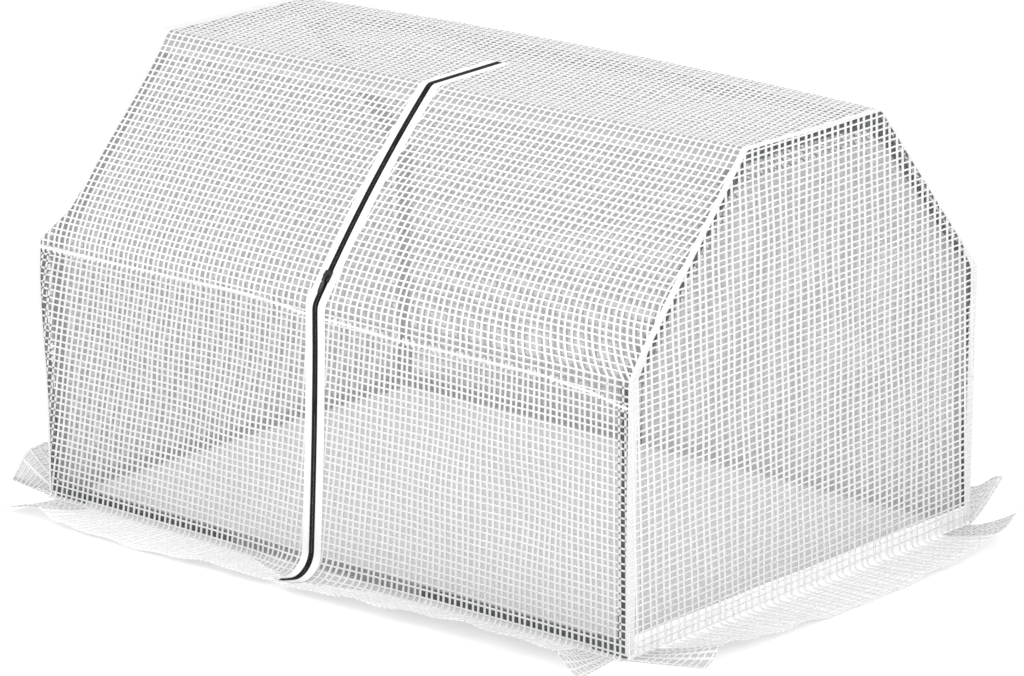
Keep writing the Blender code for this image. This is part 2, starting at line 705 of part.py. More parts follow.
def slider_mesh(frame):
    """The slider: a front plate with flanges round the chain, a web between, and a back plate."""
    half = SLIDER_LENGTH / 2
    half_web = WEB_LENGTH / 2
    half_back = SLIDER_BACK_LENGTH / 2
    chain_edge = ZIP_SLOT / 2 + CHAIN_WIDTH + FIT_GAP
    outside = chain_edge + SLIDER_FLANGE
    behind = -FILM - FIT_GAP
    web_low = behind - SLIDER_BACK / 2
    pieces = [
        box_mesh((chain_edge, -half, FIT_GAP), (outside, half, SLIDER_FRONT)),
        box_mesh((-outside, -half, FIT_GAP), (-chain_edge, half, SLIDER_FRONT)),
        box_mesh((-WEB_WIDTH / 2, -half_web, web_low), (WEB_WIDTH / 2, half_web, SLIDER_FRONT)),
        box_mesh((-chain_edge, -half_back, behind - SLIDER_BACK), (chain_edge, half_back, behind)),
    ]
    for side in (-1, 1):
        inner = side * LUG_SPACING / 2
        outer = inner + side * LUG_THICKNESS
        low = (min(inner, outer), -LUG_LENGTH / 2, SLIDER_FACE)
        high = (max(inner, outer), LUG_LENGTH / 2, PIN_HEIGHT + 2 * PIN_RADIUS)
        pieces.append(box_mesh(low, high))
    reach = LUG_SPACING / 2 + LUG_THICKNESS / 2
    pieces.append(rod_mesh((-reach, 0, PIN_HEIGHT), (reach, 0, PIN_HEIGHT), PIN_RADIUS))
    plate = box_mesh((-outside, -half, SLIDER_FACE), (outside, half, SLIDER_FRONT))
    shape = combine(plate, pieces, "UNION")
    shape.transform(frame)
    return shape


def tab_mesh(frame):
    """The pull tab: an eye round the pin and a flat grip that leans until its tip lies on the chain."""
    half_eye = LUG_SPACING / 2 - FIT_GAP
    eye = rod_mesh((-half_eye, 0, PIN_HEIGHT), (half_eye, 0, PIN_HEIGHT), EYE_RADIUS)
    neck = box_mesh((-half_eye, -NECK_LENGTH, PIN_HEIGHT - TAB_THICKNESS / 2),
                    (half_eye, -TAB_EYE, PIN_HEIGHT + TAB_THICKNESS / 2))
    hole = rod_mesh((-TAB_WIDTH, 0, PIN_HEIGHT), (TAB_WIDTH, 0, PIN_HEIGHT), TAB_EYE)
    shape = combine(combine(eye, [neck, grip_mesh()], "UNION"), [hole], "DIFFERENCE")
    drop = PIN_HEIGHT - TAB_THICKNESS / 2 - SLIDER_FACE
    pin = Matrix.Translation((0, 0, PIN_HEIGHT))
    lean = Matrix.Rotation(math.asin(drop / TAB_LENGTH), 4, "X")
    shape.transform(frame @ pin @ lean @ pin.inverted())
    return shape


def grip_mesh():
    """The tab's flat grip, its corners clipped, around the tab's mid height."""
    half = TAB_WIDTH / 2
    low, high = -TAB_LENGTH, GRIP_LENGTH - TAB_LENGTH
    outline = [(-half, low + GRIP_CLIP), (GRIP_CLIP - half, low), (half - GRIP_CLIP, low), (half, low + GRIP_CLIP),
               (half, high - GRIP_CLIP), (half - GRIP_CLIP, high), (GRIP_CLIP - half, high), (-half, high - GRIP_CLIP)]
    points = [(x, y, PIN_HEIGHT - TAB_THICKNESS / 2) for x, y in outline]
    return plate_mesh(points, (0, 0, TAB_THICKNESS))


def bow_centre():
    """The centre of the arc that the front zip follows up the slope."""
    out = Vector((0, -math.sin(SLOPE_ANGLE), math.cos(SLOPE_ANGLE)))
    middle = slope_point(-1, ZIP_OFFSET, 0.5)
    return middle - out * BOW_RADIUS


def build_slider(mats):
    """The slider on its arc, and the tab on the slider's pin."""
    frame = slope_frame()
    track = pivot("zip_slider_track", bow_centre(), (-1, 0, 0))
    hang(add_object("zip_slider", slider_mesh(frame), mats["zip"], True), track)
    pin = frame @ Vector((0, 0, PIN_HEIGHT))
    swing = pivot("pull_tab_pin", pin, (-1, 0, 0), track)
    hang(add_object("pull_tab", tab_mesh(frame), mats["zip"], True), swing)


def main():
    clear_scene()
    mats = {
        "tube": material("powder_coated_steel", (0.035, 0.050, 0.045), 0.45, 0.3),
        "socket": material("moulded_plastic", (0.060, 0.090, 0.085), 0.5),
        "film": material("gridded_film", (0.82, 0.84, 0.84), 0.35, 0.0, 0.6),
        "tape": material("folded_film_tape", (0.90, 0.90, 0.90), 0.5),
        "zip": material("black_zip", (0.012, 0.012, 0.012), 0.4),
    }
    build_hoop("left", -1, mats)
    build_hoop("right", 1, mats)
    build_long_tubes(mats)
    build_slopes(mats)
    build_roof(mats)
    build_back_wall(mats)
    build_ends(mats)
    wall_corner("front_corner_left", -1, mats)
    wall_corner("front_corner_right", 1, mats)
    build_upper_zip(mats)
    build_door("left", -1, mats)
    build_door("right", 1, mats)
    build_skirts(mats)
    build_slider(mats)


main()
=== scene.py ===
"""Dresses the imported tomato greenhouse: gridded film, zip, plug-together frame and stage.

Metres, +Z up, the zipped front faces -Y. The cover is described by one surface: x runs along the
tunnel, and s is the distance along the film from the back crease, over the roof, to the front hem.
"""

import math

import bmesh
import bpy
import numpy as np
from mathutils import Matrix, Vector


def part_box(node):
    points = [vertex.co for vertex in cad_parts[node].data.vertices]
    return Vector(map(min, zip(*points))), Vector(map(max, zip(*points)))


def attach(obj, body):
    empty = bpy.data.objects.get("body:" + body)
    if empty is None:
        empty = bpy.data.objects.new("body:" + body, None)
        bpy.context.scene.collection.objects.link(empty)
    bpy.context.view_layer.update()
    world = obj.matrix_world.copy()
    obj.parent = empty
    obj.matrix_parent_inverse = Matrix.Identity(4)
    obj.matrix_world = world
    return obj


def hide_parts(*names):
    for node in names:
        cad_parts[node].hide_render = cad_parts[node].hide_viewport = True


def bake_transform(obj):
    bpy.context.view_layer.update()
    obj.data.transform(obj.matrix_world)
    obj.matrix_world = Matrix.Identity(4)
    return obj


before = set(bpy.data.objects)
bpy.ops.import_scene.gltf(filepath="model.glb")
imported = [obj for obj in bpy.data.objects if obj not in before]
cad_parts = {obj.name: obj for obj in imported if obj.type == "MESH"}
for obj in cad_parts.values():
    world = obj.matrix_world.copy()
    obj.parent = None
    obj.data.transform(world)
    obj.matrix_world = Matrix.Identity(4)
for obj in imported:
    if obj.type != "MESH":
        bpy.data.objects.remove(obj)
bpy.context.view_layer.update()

bl_info = {
    "name": "Tomato greenhouse",
    "version": (1, 0, 0),
    "blender": (4, 5, 0),
    "location": "3D View > Sidebar > Greenhouse",
    "description": "Builds a small tunnel greenhouse of gridded film over plugged tubes",
    "category": "Object",
}

ROOT = "frame_and_cover"
SIGNS = {"left": -1, "right": 1}

# The cover's outline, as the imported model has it
GAP = 0.0003
HALF_LENGTH = float(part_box("roof_panel")[1][0])
HALF_WIDTH = float(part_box("back_wall")[1][1])
TOP = float(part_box("roof_panel")[1][2])
KNEE_Z = float(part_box("back_wall")[1][2]) + GAP
SHOULDER_Y = float(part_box("roof_panel")[1][1]) + GAP
ZIP_X = float(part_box("zip_chain_upper_left")[1][0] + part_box("zip_chain_upper_right")[0][0]) / 2
ZIP_ROOF_Y = float(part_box("zip_chain_upper_left")[1][1])
SLOPE_ANGLE = math.atan2(TOP - KNEE_Z, HALF_WIDTH - SHOULDER_Y)
SLOPE = math.hypot(TOP - KNEE_Z, HALF_WIDTH - SHOULDER_Y)

# Places along the girth of the cover
BACK_SHOULDER = KNEE_Z + SLOPE
FRONT_SHOULDER = BACK_SHOULDER + 2 * SHOULDER_Y
FRONT_KNEE = FRONT_SHOULDER + SLOPE
ZIP_ROOF_END = BACK_SHOULDER + SHOULDER_Y - ZIP_ROOF_Y

# The film's corners and bows
BASE = 0.0007
SLOPE_BOW = 0.008
BOW_RADIUS = SLOPE ** 2 / (8 * SLOPE_BOW) + SLOPE_BOW / 2
ROOF_CROWN = 0.009
CREASE = 0.006
KNEE_ROUND = 0.007
SHOULDER_ROUND = 0.005
CORNERS = ((0.0, CREASE), (KNEE_Z, KNEE_ROUND), (BACK_SHOULDER, SHOULDER_ROUND),
           (FRONT_SHOULDER, SHOULDER_ROUND), (FRONT_KNEE, KNEE_ROUND))
FACING_STEP = 0.0004

# The skirts: their width, the ripples of their edges and how their ends are pulled askew
SKIRT = 0.090
RIPPLE = 0.003
RIPPLE_LENGTH = 0.085
EDGE_CURVE = 1.4
SKEW_REACH = 0.160
FRONT_SKEW = 0.016
END_SKEWS = {"left": 0.015, "right": 0.040}
CORNER_INSET = 0.016
FOOT_X = HALF_LENGTH - CORNER_INSET

# The front wall near the zip: its wide turn into the skirt, its lean outwards and its sideways drift
ZIP_BEND = 0.030
BEND_SPREAD = 0.070
TAPE_EDGE = 0.0162
FRONT_LEAN = 0.008
LEAN_SPREAD = 0.130
LEAN_HEIGHT = 0.300
LEAN_FADE = 1.5
ZIP_DRIFT = 0.002

# How the left end bellies out: at its back and at its front, and round which height and place
BACK_BULGE = 0.003
FRONT_BULGE = 0.014
BULGE_HEIGHT = 0.30
BULGE_SPREAD = 0.13
BULGE_START = 0.395
BULGE_REACH = 0.10

# The film's crumple: its height, its wavelengths and where the waves start, and the room it leaves beside
# the hoops, the zip and the ground
CRUMPLE = 0.0025
CRUMPLE_PARTS = ((0.0, KNEE_Z, 1.3), (KNEE_Z, BACK_SHOULDER, 1.0), (BACK_SHOULDER, FRONT_SHOULDER, 0.7),
                 (FRONT_SHOULDER, FRONT_KNEE, 1.0), (FRONT_KNEE, FRONT_KNEE + KNEE_Z, 1.3))
BROAD_WAVES = (0.31, 0.23)
BROAD_STARTS = (1.3, 0.4)
SLANT_WAVES = (0.19, 0.37)
SLANT_SHARE = 0.6
SWAY = 0.0007
SWAY_WAVES = (0.4, 0.21)
SWAY_START = 3
END_CRUMPLE = CRUMPLE * 0.5
END_WAVES = (0.27, 0.31, 0.17)
END_WAVE_START = 0.8
END_SLANT_SHARE = 0.5
HOOP_ROOM = 0.020
HOOP_FADE = 0.100
ZIP_FADE = 0.060
END_FADES = {"top": 0.08, "ground": 0.05, "legs": 0.06}

# How the threads stray on their way over the cover, as slopes, bends and spreads
WALL_LEAN = 0.075
WALL_TWIST = 0.20
SLOPE_BEND = 0.082
SLOPE_BEND_LEFT = 0.22
SLOPE_BEND_RIGHT = 1.08
LEAST_BEND_X = -0.05
SLOPE_STRAY = 0.037
SLOPE_STRAY_FALL = 0.25
MOST_STRAY_X = 0.03
ROOF_LEAN = 0.228
END_LEAN = 0.055
END_RISE = 0.020
KNEE_SPREAD = 1.084
KNEE_SPREAD_RISE = 0.44
KNEE_THREADS = (-0.70, 0.72)
FRONT_THREADS = 0.62
THREAD_EDGE = HALF_LENGTH - 0.0015

# How far the seam lies below the front knee, at places along the tunnel, and how far the two grids lap there
SEAM_FALLS = ((-0.495, 0.0110), (-0.270, 0.0085), (-0.150, 0.0065), (0.010, 0.0150), (0.135, 0.0190),
              (0.350, 0.0178), (0.416, 0.0230), (0.495, 0.0340))
SEAM_LAP = 0.0040
SEAM_STAND = 0.0007
SEAM_THICKNESS = 0.0006
SEAM_SHARES = (-0.5, -0.17, 0.17, 0.5)

# Clear fans at the skirts' ends, which are left without the skirts' painted light, the height of the ends'
# pale band, which has that painted light too, and how far the film is stretched beside the roof rails
FAN = 0.060
PALE_BAND_RISE = 0.030
RAIL_REACH = 0.034

# How each skirt's outer edge lifts: a place, as a share of its wall's length, and the height there
FRONT_FOLDS = ((0.016, 0.004), (0.070, 0.021), (0.110, 0.006), (0.250, 0.002), (0.405, 0.012),
               (0.520, 0.012), (0.640, 0.018), (0.820, 0.028), (0.940, 0.027), (0.984, 0.000))
BACK_FOLDS = ((0.0, 0.004), (0.20, 0.009), (0.40, 0.002), (0.65, 0.010), (0.85, 0.004), (0.94, 0.020),
              (1.0, 0.046))
END_FOLDS = {
    "left": ((0.0, 0.000), (0.045, 0.036), (0.10, 0.041), (0.22, 0.006), (0.50, 0.008), (0.70, 0.002),
             (1.0, 0.008)),
    "right": ((0.0, 0.037), (0.07, 0.020), (0.22, 0.007), (0.42, 0.000), (0.54, 0.000), (0.71, 0.008),
              (0.94, 0.020), (1.0, 0.000)),
}

# Rows and columns of the sheets, where sheets and threads start and end, and the room that they leave
CROWD = 0.003
LEAST_SHARE = 0.02
SHEET_END = 0.0072
LAP_STEPS = (0.012, 0.018, 0.024, 0.030, 0.036, 0.042)
SLOT = 0.0030
GIRTH_REACH = HALF_LENGTH - 0.005
END_EDGE = 0.0009
END_ROWS = 30
END_LINE_ROOM = 0.004
END_THREADS = (0.006 - HALF_WIDTH, HALF_WIDTH + 0.030)
END_LEVELS = (CREASE + 0.004, TOP + 0.010)
FRONT_START = 0.0045
FRONT_INSET = 0.0004
FRONT_LEVEL_ROWS = (FRONT_START + 0.004, 0.296)
FRONT_EVEN_START = 0.302
EVEN_ROWS = 4
TURN_ROWS = 6
SKIRT_ROWS = 9
COARSE_FALL = 0.25
LEVEL_ROOM = 0.001
HEM_ROOM = 0.0008
TAPE_ROOM = 0.002
HAIR = 1e-6

# Where the front film lies on a leg or on the ground rail, and how near a tube an end panel clings
LEG_COVER_X = 0.0020
RAIL_COVER_X = 0.16
RAIL_COVER_Z = (0.001, 0.0230)
CLING = 0.0095

# Where skirts and flaps turn
FLAP_DROP = 0.009
FLAP_ROOM = 0.0007
CORNER_RISE = 0.014

# Folded edges along the hoops: how high they stand, and over what length they change width
BINDING_HIGH = 0.0006
BINDING_LOW = 0.0001
BINDING_START = 0.010
BINDING_STEP = 0.012
BINDING_FADE = 0.05

# Zip
ZIP_TAIL = 0.030
ZIP_STEP = 0.006
ZIP_CROWD = 0.002
CORD_INNER = 0.0005
CORD_EDGE = 0.0043
CORD_THICKNESS = 0.0007
TAPE_THICKNESS = 0.0005
TOOTH_AWAY = 0.0021
TOOTH_LIFT = 0.0009
PATCH_ROUND = 0.00015
CAST_ROUND = 0.00022
WELD = 0.00001

# Frame
TUBE_RADIUS = 0.008
TUBE_WALL = 0.0006
BORE_RADIUS = TUBE_RADIUS + GAP
SOCKET_RADIUS = BORE_RADIUS + 0.0020
HUB_RADIUS = SOCKET_RADIUS + 0.0008
SEAT = 0.012
SOCKET_REACH = SEAT + 0.034
LIP = 0.004
LIP_INSET = 0.0001
MOULD_ROUND = 0.0003
HUB_INSET = HUB_RADIUS + GAP + 0.0005
HOOP_X = HALF_LENGTH - HUB_INSET
LEG_Y = HALF_WIDTH - HUB_INSET
RAIL_Z = HUB_RADIUS - 0.0015
TOP_Z = TOP - HUB_INSET
KNEE_HUB_Z = KNEE_Z - HUB_INSET * math.tan((math.pi / 2 - SLOPE_ANGLE) / 2)
SHOULDER_HUB_Y = SHOULDER_Y - HUB_INSET * math.tan(SLOPE_ANGLE / 2)
SIDES = 40

# Stage: angles in degrees, the lens and the sensor in millimetres, the lamps in watts
FLOOR_SIZE = 14.0
FLOOR_Z = -0.0004
LAMP_TARGET = (0, 0, 0.25)
LAMP_SIZE = 2.4
LAMPS = (("key", (-2.6, -3.4, 3.2), 92.0), ("fill", (3.6, -1.2, 2.4), 62.0), ("top", (0.3, 0.2, 3.8), 26.0))
WORLD_STRENGTH = 1.30
CAMERA_PLACE = (4.2316, -4.9840, 2.1208)
CAMERA_ANGLES = (40.28, 16.07, 0.37)
CAMERA_LENS = 182.7
CAMERA_SENSOR = 36.0
CAMERA_REACH = 100.0


def linear(colour):
    """An sRGB hex colour as linear red, green and blue."""
    parts = [int(colour[k:k + 2], 16) / 255 for k in (1, 3, 5)]
    return tuple(c / 12.92 if c <= 0.04045 else ((c + 0.055) / 1.055) ** 2.4 for c in parts)


def size(name, description, default):
    """A size that a user may change, in metres."""
    return bpy.props.FloatProperty(name=name, description=description, default=default, min=0.0,
                                   unit="LENGTH", precision=5)


def tint(name, description, default):
    """A colour that a user may change."""
    return bpy.props.FloatVectorProperty(name=name, description=description, default=linear(default),
                                         size=3, min=0.0, max=1.0, subtype="COLOR")


class GreenhouseSizes(bpy.types.PropertyGroup):
    """Sizes of the film, its threads and the zip."""

    film_thickness: size("Film thickness", "Thickness of the cover's film", 0.0003)
    girth_pitch: size("Girth thread pitch", "Mean distance between the upright threads", 0.0095)
    girth_pairing: size("Girth thread pairing", "How far each upright thread is off the even pitch", 0.00045)
    girth_width: size("Girth thread width", "Width of the upright threads", 0.0031)
    end_pitch: size("End thread pitch", "Mean distance between the ends' upright threads", 0.0134)
    end_pairing: size("End thread pairing", "How far each such thread is off the even pitch", 0.00095)
    end_width: size("End thread width", "Width of the end panels' upright threads", 0.0043)
    length_pitch: size("Length thread pitch", "Mean distance between the level threads", 0.0096)
    length_pairing: size("Length thread pairing", "How far each level thread is off the even pitch", 0.00055)
    length_width: size("Length thread width", "Width of the level threads", 0.0023)
    end_length_pitch: size("End level pitch", "Mean distance between the ends' level threads", 0.0089)
    thread_thickness: size("Thread thickness", "Thickness of the threads through the film", 0.0010)
    seam_width: size("Seam width", "Width of the folded film at the knee seam", 0.0030)
    binding_post: size("Binding beside the walls", "Folded edge on the ends, up to the knees", 0.0130)
    binding_arch: size("Binding below the roof", "Folded edge on the ends, above the knees", 0.0020)
    binding_wall: size("Binding on the walls", "Folded edge on the long sheet's walls", 0.0030)
    binding_slope: size("Binding on the slopes", "Folded edge on the slopes and the roof", 0.0070)
    binding_left: size("Left binding on the slopes", "The same edge at the left hoop", 0.0200)
    tooth_pitch: size("Tooth pitch", "Distance between the zip's teeth on one side", 0.0025)
    tooth_width: size("Tooth width", "Size of one tooth along the zip", 0.0015)
    tooth_length: size("Tooth length", "Size of one tooth across the zip", 0.0038)


class GreenhouseColours(bpy.types.PropertyGroup):
    """Colours of the greenhouse's finishes."""

    film: tint("Film", "Milky film between the threads", "#c3c3c3")
    thread: tint("Thread", "White threads in the film", "#f7f7f7")
    doubled: tint("Doubled film", "Film folded at seams and edges", "#e9e9e9")
    tube: tint("Tube", "Coat of the frame tubes", "#2c3632")
    socket: tint("Socket", "Moulded connectors", "#3b4643")
    zip: tint("Zip", "Coil, cord and slider of the zip", "#101010")
    floor: tint("Floor", "Pale floor of the stage", "#fafafa")


# Materials

def add_node(tree, kind, inputs=None, **settings):
    """Add a node with its settings. An input that is given a socket is linked to it, any other one is set."""
    made = tree.nodes.new(kind)
    for key, value in settings.items():
        setattr(made, key, value)
    for key, value in (inputs or {}).items():
        if isinstance(value, bpy.types.NodeSocket):
            tree.links.new(value, made.inputs[key])
        else:
            made.inputs[key].default_value = value
    return made


def blend_of(tree, share, first, second):
    """A mix of two shaders, the share being the second one's."""
    return add_node(tree, "ShaderNodeMixShader", {0: share, 1: first, 2: second}).outputs[0]


def material(name, shader, *settings):
    """The material of a name, with a shader made by a function on first use."""
    made = bpy.data.materials.get(name)
    if made is None:
        made = bpy.data.materials.new(name)
        made.use_nodes = True
        made.node_tree.nodes.clear()
        surface = shader(made.node_tree, *settings)
        add_node(made.node_tree, "ShaderNodeOutputMaterial", {"Surface": surface})
    return made


def mottled(tree, colour, patch, spread):
    """A colour that varies softly in patches of a size in metres, by a share either way."""
    place = add_node(tree, "ShaderNodeTexCoord").outputs["Object"]
    noise = add_node(tree, "ShaderNodeTexNoise", {"Scale": 1 / patch, "Detail": 3.0, "Vector": place})
    low = (*[c * (1 - spread) for c in colour], 1.0)
    high = (*[min(1.0, c * (1 + spread)) for c in colour], 1.0)
    mixed = add_node(tree, "ShaderNodeMix", {0: noise.outputs["Fac"], 6: low, 7: high}, data_type="RGBA")
    return mixed.outputs[2], place


def relief(tree, place, grain, depth):
    """A bump of a grain size and depth in metres."""
    noise = add_node(tree, "ShaderNodeTexNoise", {"Scale": 1 / grain, "Detail": 2.0, "Vector": place})
    return add_node(tree, "ShaderNodeBump", {"Distance": depth, "Strength": 0.6,
                                             "Height": noise.outputs["Fac"]}).outputs["Normal"]


def plastic(tree, tone, bumps, roughness, sheen, passing):
    """Polyethylene: a soft gloss, with a share of the light passing through and lighting its far side."""
    shine = add_node(tree, "ShaderNodeBsdfPrincipled", {
        "Roughness": roughness, "IOR": 1.51, "Sheen Weight": sheen, "Base Color": tone, "Normal": bumps})
    through = add_node(tree, "ShaderNodeBsdfTranslucent", {"Color": tone})
    return blend_of(tree, passing, shine.outputs[0], through.outputs[0])


def film_shader(tree, colour, opacity, passing):
    """Blown film: milky and partly clear, so that it shows what lies close behind it greyly."""
    tone, place = mottled(tree, colour, 0.045, 0.03)
    milky = plastic(tree, tone, relief(tree, place, 0.006, 0.0004), 0.38, 0.25, passing)
    clear = add_node(tree, "ShaderNodeBsdfTransparent").outputs[0]
    return blend_of(tree, opacity, clear, milky)


def painted_shade_behind(tree, tone, share):
    """A tone cut to a share where camera rays see it through another sheet: painted shade, standing in for
    the milky film's haze.
    """
    path = add_node(tree, "ShaderNodeLightPath").outputs
    behind = add_node(tree, "ShaderNodeMath", {0: path["Transparent Depth"], 1: 1.5},
                      operation="GREATER_THAN")
    seen = add_node(tree, "ShaderNodeMath", {0: behind.outputs[0], 1: path["Is Camera Ray"]},
                    operation="MULTIPLY")
    return add_node(tree, "ShaderNodeMix", {0: seen.outputs[0], 6: tone, 7: (share, share, share, 1.0)},
                    data_type="RGBA", blend_type="MULTIPLY").outputs[2]


def white_shader(tree, colour, patch, grain, depth, passing, behind=1.0):
    """White polyethylene without clear places: a satin gloss over a fine grain."""
    tone, place = mottled(tree, colour, patch, 0.02)
    # Given a share, what camera rays see through another sheet gets painted shade
    tone = painted_shade_behind(tree, tone, behind) if behind < 1 else tone
    return plastic(tree, tone, relief(tree, place, grain, depth), 0.45, 0.15, passing)


def hard_shader(tree, colour, roughness, grain, depth, metallic=0.0, coat=0.0, gloss=0.5):
    """A solid finish with soft patches of tone and a fine grain that breaks up its gloss."""
    tone, place = mottled(tree, colour, 0.030, 0.12)
    return add_node(tree, "ShaderNodeBsdfPrincipled", {
        "Roughness": roughness, "Metallic": metallic, "Coat Weight": coat, "Specular IOR Level": gloss,
        "Base Color": tone, "Normal": relief(tree, place, grain, depth)}).outputs[0]


def scaled(colour, share, white=0.0):
    """A share of a colour, with some white added."""
    return tuple(share * c + white for c in colour)


def finishes(context):
    """The materials by their use, made on first call."""
    colours = context.scene.greenhouse_colours
    film, doubled, black = tuple(colours.film), tuple(colours.doubled), tuple(colours.zip)
    fold = (0.012, 0.0040, 0.0004, 0.25)
    return {
        # Blown film: milky, so that it hides what is far behind it and greys what is close
        "film": material("milky_polyethylene_film", film_shader, film, 0.35, 0.55),
        # The end panels' film is a lighter, more opaque copy of the film, so that less of the floor shows
        # through it; its lighter tone is painted light on the ends
        "end": material("end_film_with_painted_light", film_shader, scaled(film, 1.05), 0.45, 0.55),
        # Where the film lies on a tube it clings, and shows the dark tube clearly
        "clinging": material("clinging_polyethylene_film", film_shader, scaled(film, 0.8), 0.10, 0.50),
        # Where the film is stretched over the roof rails it whitens inside, and hides them
        "stretched": material("stretched_polyethylene_film", film_shader, scaled(film, 1.12), 0.65, 0.55),
        # The skirts' film, painted nearly white, more opaque and passing less light: painted light, standing
        # in for the brighter light on the upturned skirts
        "skirt": material("skirt_film_with_painted_light", film_shader, scaled(film, 0.1, 0.90), 0.80, 0.20),
        # Flat threads laminated into the film: white, a little satiny along their length, with painted shade
        # that greys them where they are seen through another sheet
        "thread": material("woven_polyethylene_thread", white_shader, tuple(colours.thread),
                           0.020, 0.0012, 0.0002, 0.45, 0.62),
        # Film folded and sewn double at edges and seams: whiter than one layer, softly wrinkled
        "doubled": material("folded_double_film", white_shader, doubled, *fold),
        # The same folds round the hoops, stretched thinner over the tubes, so that they are a little greyer
        "binding": material("stretched_double_film", white_shader, scaled(doubled, 0.84), *fold),
        # Powder coat over steel: an orange peel of about a millimetre under a half gloss
        "tube": material("powder_coated_steel_tube", hard_shader, tuple(colours.tube),
                         0.42, 0.0011, 0.00015, 0.2),
        # Injection moulded polypropylene: a fine spark-eroded grain with little gloss
        "socket": material("moulded_polypropylene", hard_shader, tuple(colours.socket),
                           0.55, 0.0006, 0.00010),
        # Nylon coil: smooth and slightly glossy, so each turn catches a little light
        "coil": material("black_nylon_coil", hard_shader, black, 0.42, 0.0009, 0.00006, 0.0, 0.0, 0.18),
        # Woven polyester cord tape under the coil: dull and fibrous
        "cord": material("black_woven_polyester", hard_shader, scaled(black, 1.2),
                         0.85, 0.0005, 0.00020, 0.0, 0.0, 0.10),
        # Die-cast zinc, painted black: half gloss, softer than bare metal
        "slider": material("painted_zinc_casting", hard_shader, scaled(black, 1.4),
                           0.36, 0.0014, 0.00005, 0.0, 0.1, 0.25),
    }


# The cover's surface

def eased(heights, share):
    """A height that is given at a few places, such as a skirt's outer edge, eased from place to place."""
    places, heights = np.array(heights).T
    k = np.clip(np.searchsorted(places, share, side="right") - 1, 0, len(places) - 2)
    between = np.clip((share - places[k]) / (places[k + 1] - places[k]), 0, 1)
    return heights[k] + (heights[k + 1] - heights[k]) * (0.5 - 0.5 * np.cos(np.pi * between))


def seam_fall(x):
    """How far the seam lies below the front knee."""
    return eased(SEAM_FALLS, x)


def phase(place, wavelength):
    """The angle that a wave has turned by at a place."""
    return 2 * np.pi * place / wavelength


def ripple(along):
    """The small ripples of a skirt's outer edge."""
    return RIPPLE * (0.5 - 0.5 * np.cos(phase(along, RIPPLE_LENGTH)))


def skirt_reach(lift):
    """How far out a skirt's edge lies when it is lifted, the film keeping its width."""
    return np.sqrt(SKIRT ** 2 - lift ** 2)


def nearness(x):
    """1 in line with the zip's tapes, falling to 0 along the front."""
    away = np.maximum(0.0, np.abs(x - ZIP_X) - TAPE_EDGE)
    return np.exp(-(away / BEND_SPREAD) ** 2)


def bend_radius(x):
    """The radius of the film's turn from the front wall into the skirt."""
    return np.maximum(CREASE, ZIP_BEND * nearness(x))


def wall_fall(x):
    """The distance down the front wall from the knee to the turn."""
    return KNEE_Z - BASE - bend_radius(x)


def crease_fall(x):
    """The distance from the front knee to the end of the turn."""
    return wall_fall(x) + bend_radius(x) * math.pi / 2


def hem_fall(x):
    """The distance along the film from the front knee to the skirt's outer edge."""
    return crease_fall(x) + SKIRT - bend_radius(x)


def lean_share(z):
    """How much of the front wall's lean there is at a height: all at the ground, none at the top."""
    return np.clip(1 - z / LEAN_HEIGHT, 0, 1) ** LEAN_FADE


def slope_section(x, share, side):
    """y and z on a bowed slope, share being 0 at the knee and 1 at the shoulder."""
    across = SLOPE * (share - 0.5)
    hoop = np.where(x > ZIP_X, HALF_LENGTH, -HALF_LENGTH)
    fullness = 1 - ((x - ZIP_X) / (hoop - ZIP_X)) ** 2
    bow = (np.sqrt(np.maximum(0.0, BOW_RADIUS ** 2 - across ** 2)) - BOW_RADIUS + SLOPE_BOW) * fullness
    y = HALF_WIDTH + (SHOULDER_Y - HALF_WIDTH) * share + math.sin(SLOPE_ANGLE) * bow
    z = KNEE_Z + (TOP - KNEE_Z) * share + math.cos(SLOPE_ANGLE) * bow
    return side * y, z


def front_section(x, fall):
    """y, z and the share of the skirt passed, at a distance down the film from the front knee."""
    radius = bend_radius(x)
    turn = np.clip((fall - wall_fall(x)) / radius, 0, np.pi / 2)
    share = np.maximum(0.0, (fall - crease_fall(x)) / (SKIRT - radius))
    lift = eased(FRONT_FOLDS, (x + HALF_LENGTH) / (2 * HALF_LENGTH)) + ripple(x) * (1 - nearness(x))
    out = radius * (1 - np.cos(turn)) + (skirt_reach(lift) - radius) * share
    skirt_z = BASE + radius * (1 - np.sin(turn)) + lift * share ** EDGE_CURVE
    z = np.where(fall < wall_fall(x), KNEE_Z - fall, skirt_z)
    low = lean_share(z) * np.clip(1 - share, 0, 1)
    lean = FRONT_LEAN * np.exp(-((x - ZIP_X) / LEAN_SPREAD) ** 2) * low
    return -HALF_WIDTH - out - lean, z, share


def sharp_section(x, s):
    """y and z of the cover before its corners are rounded."""
    y = np.full(np.shape(x), HALF_WIDTH)
    z = BASE + s * (KNEE_Z - BASE) / KNEE_Z
    share = np.clip(-s / SKIRT, 0, None)
    lift = eased(BACK_FOLDS, (x + HALF_LENGTH) / (2 * HALF_LENGTH)) + ripple(x + HALF_LENGTH)
    y = np.where(s < 0, HALF_WIDTH + skirt_reach(lift) * share, y)
    z = np.where(s < 0, BASE + lift * share ** EDGE_CURVE, z)
    back = slope_section(x, (s - KNEE_Z) / SLOPE, 1)
    front = slope_section(x, (FRONT_KNEE - s) / SLOPE, -1)
    wall = front_section(x, s - FRONT_KNEE)
    crown = ROOF_CROWN * (1 - (x / HALF_LENGTH) ** 2)
    over = np.clip((FRONT_SHOULDER - s) / (2 * SHOULDER_Y), 0, 1)
    under = np.clip((s - KNEE_Z) / SLOPE, 0, 1) ** 3
    back = (back[0], back[1] + crown * under)
    roof = (SHOULDER_Y - (s - BACK_SHOULDER), TOP + crown * over)
    for start, part in ((KNEE_Z, back), (BACK_SHOULDER, roof), (FRONT_SHOULDER, front), (FRONT_KNEE, wall)):
        y = np.where(s > start, part[0], y)
        z = np.where(s > start, part[1], z)
    return y, z


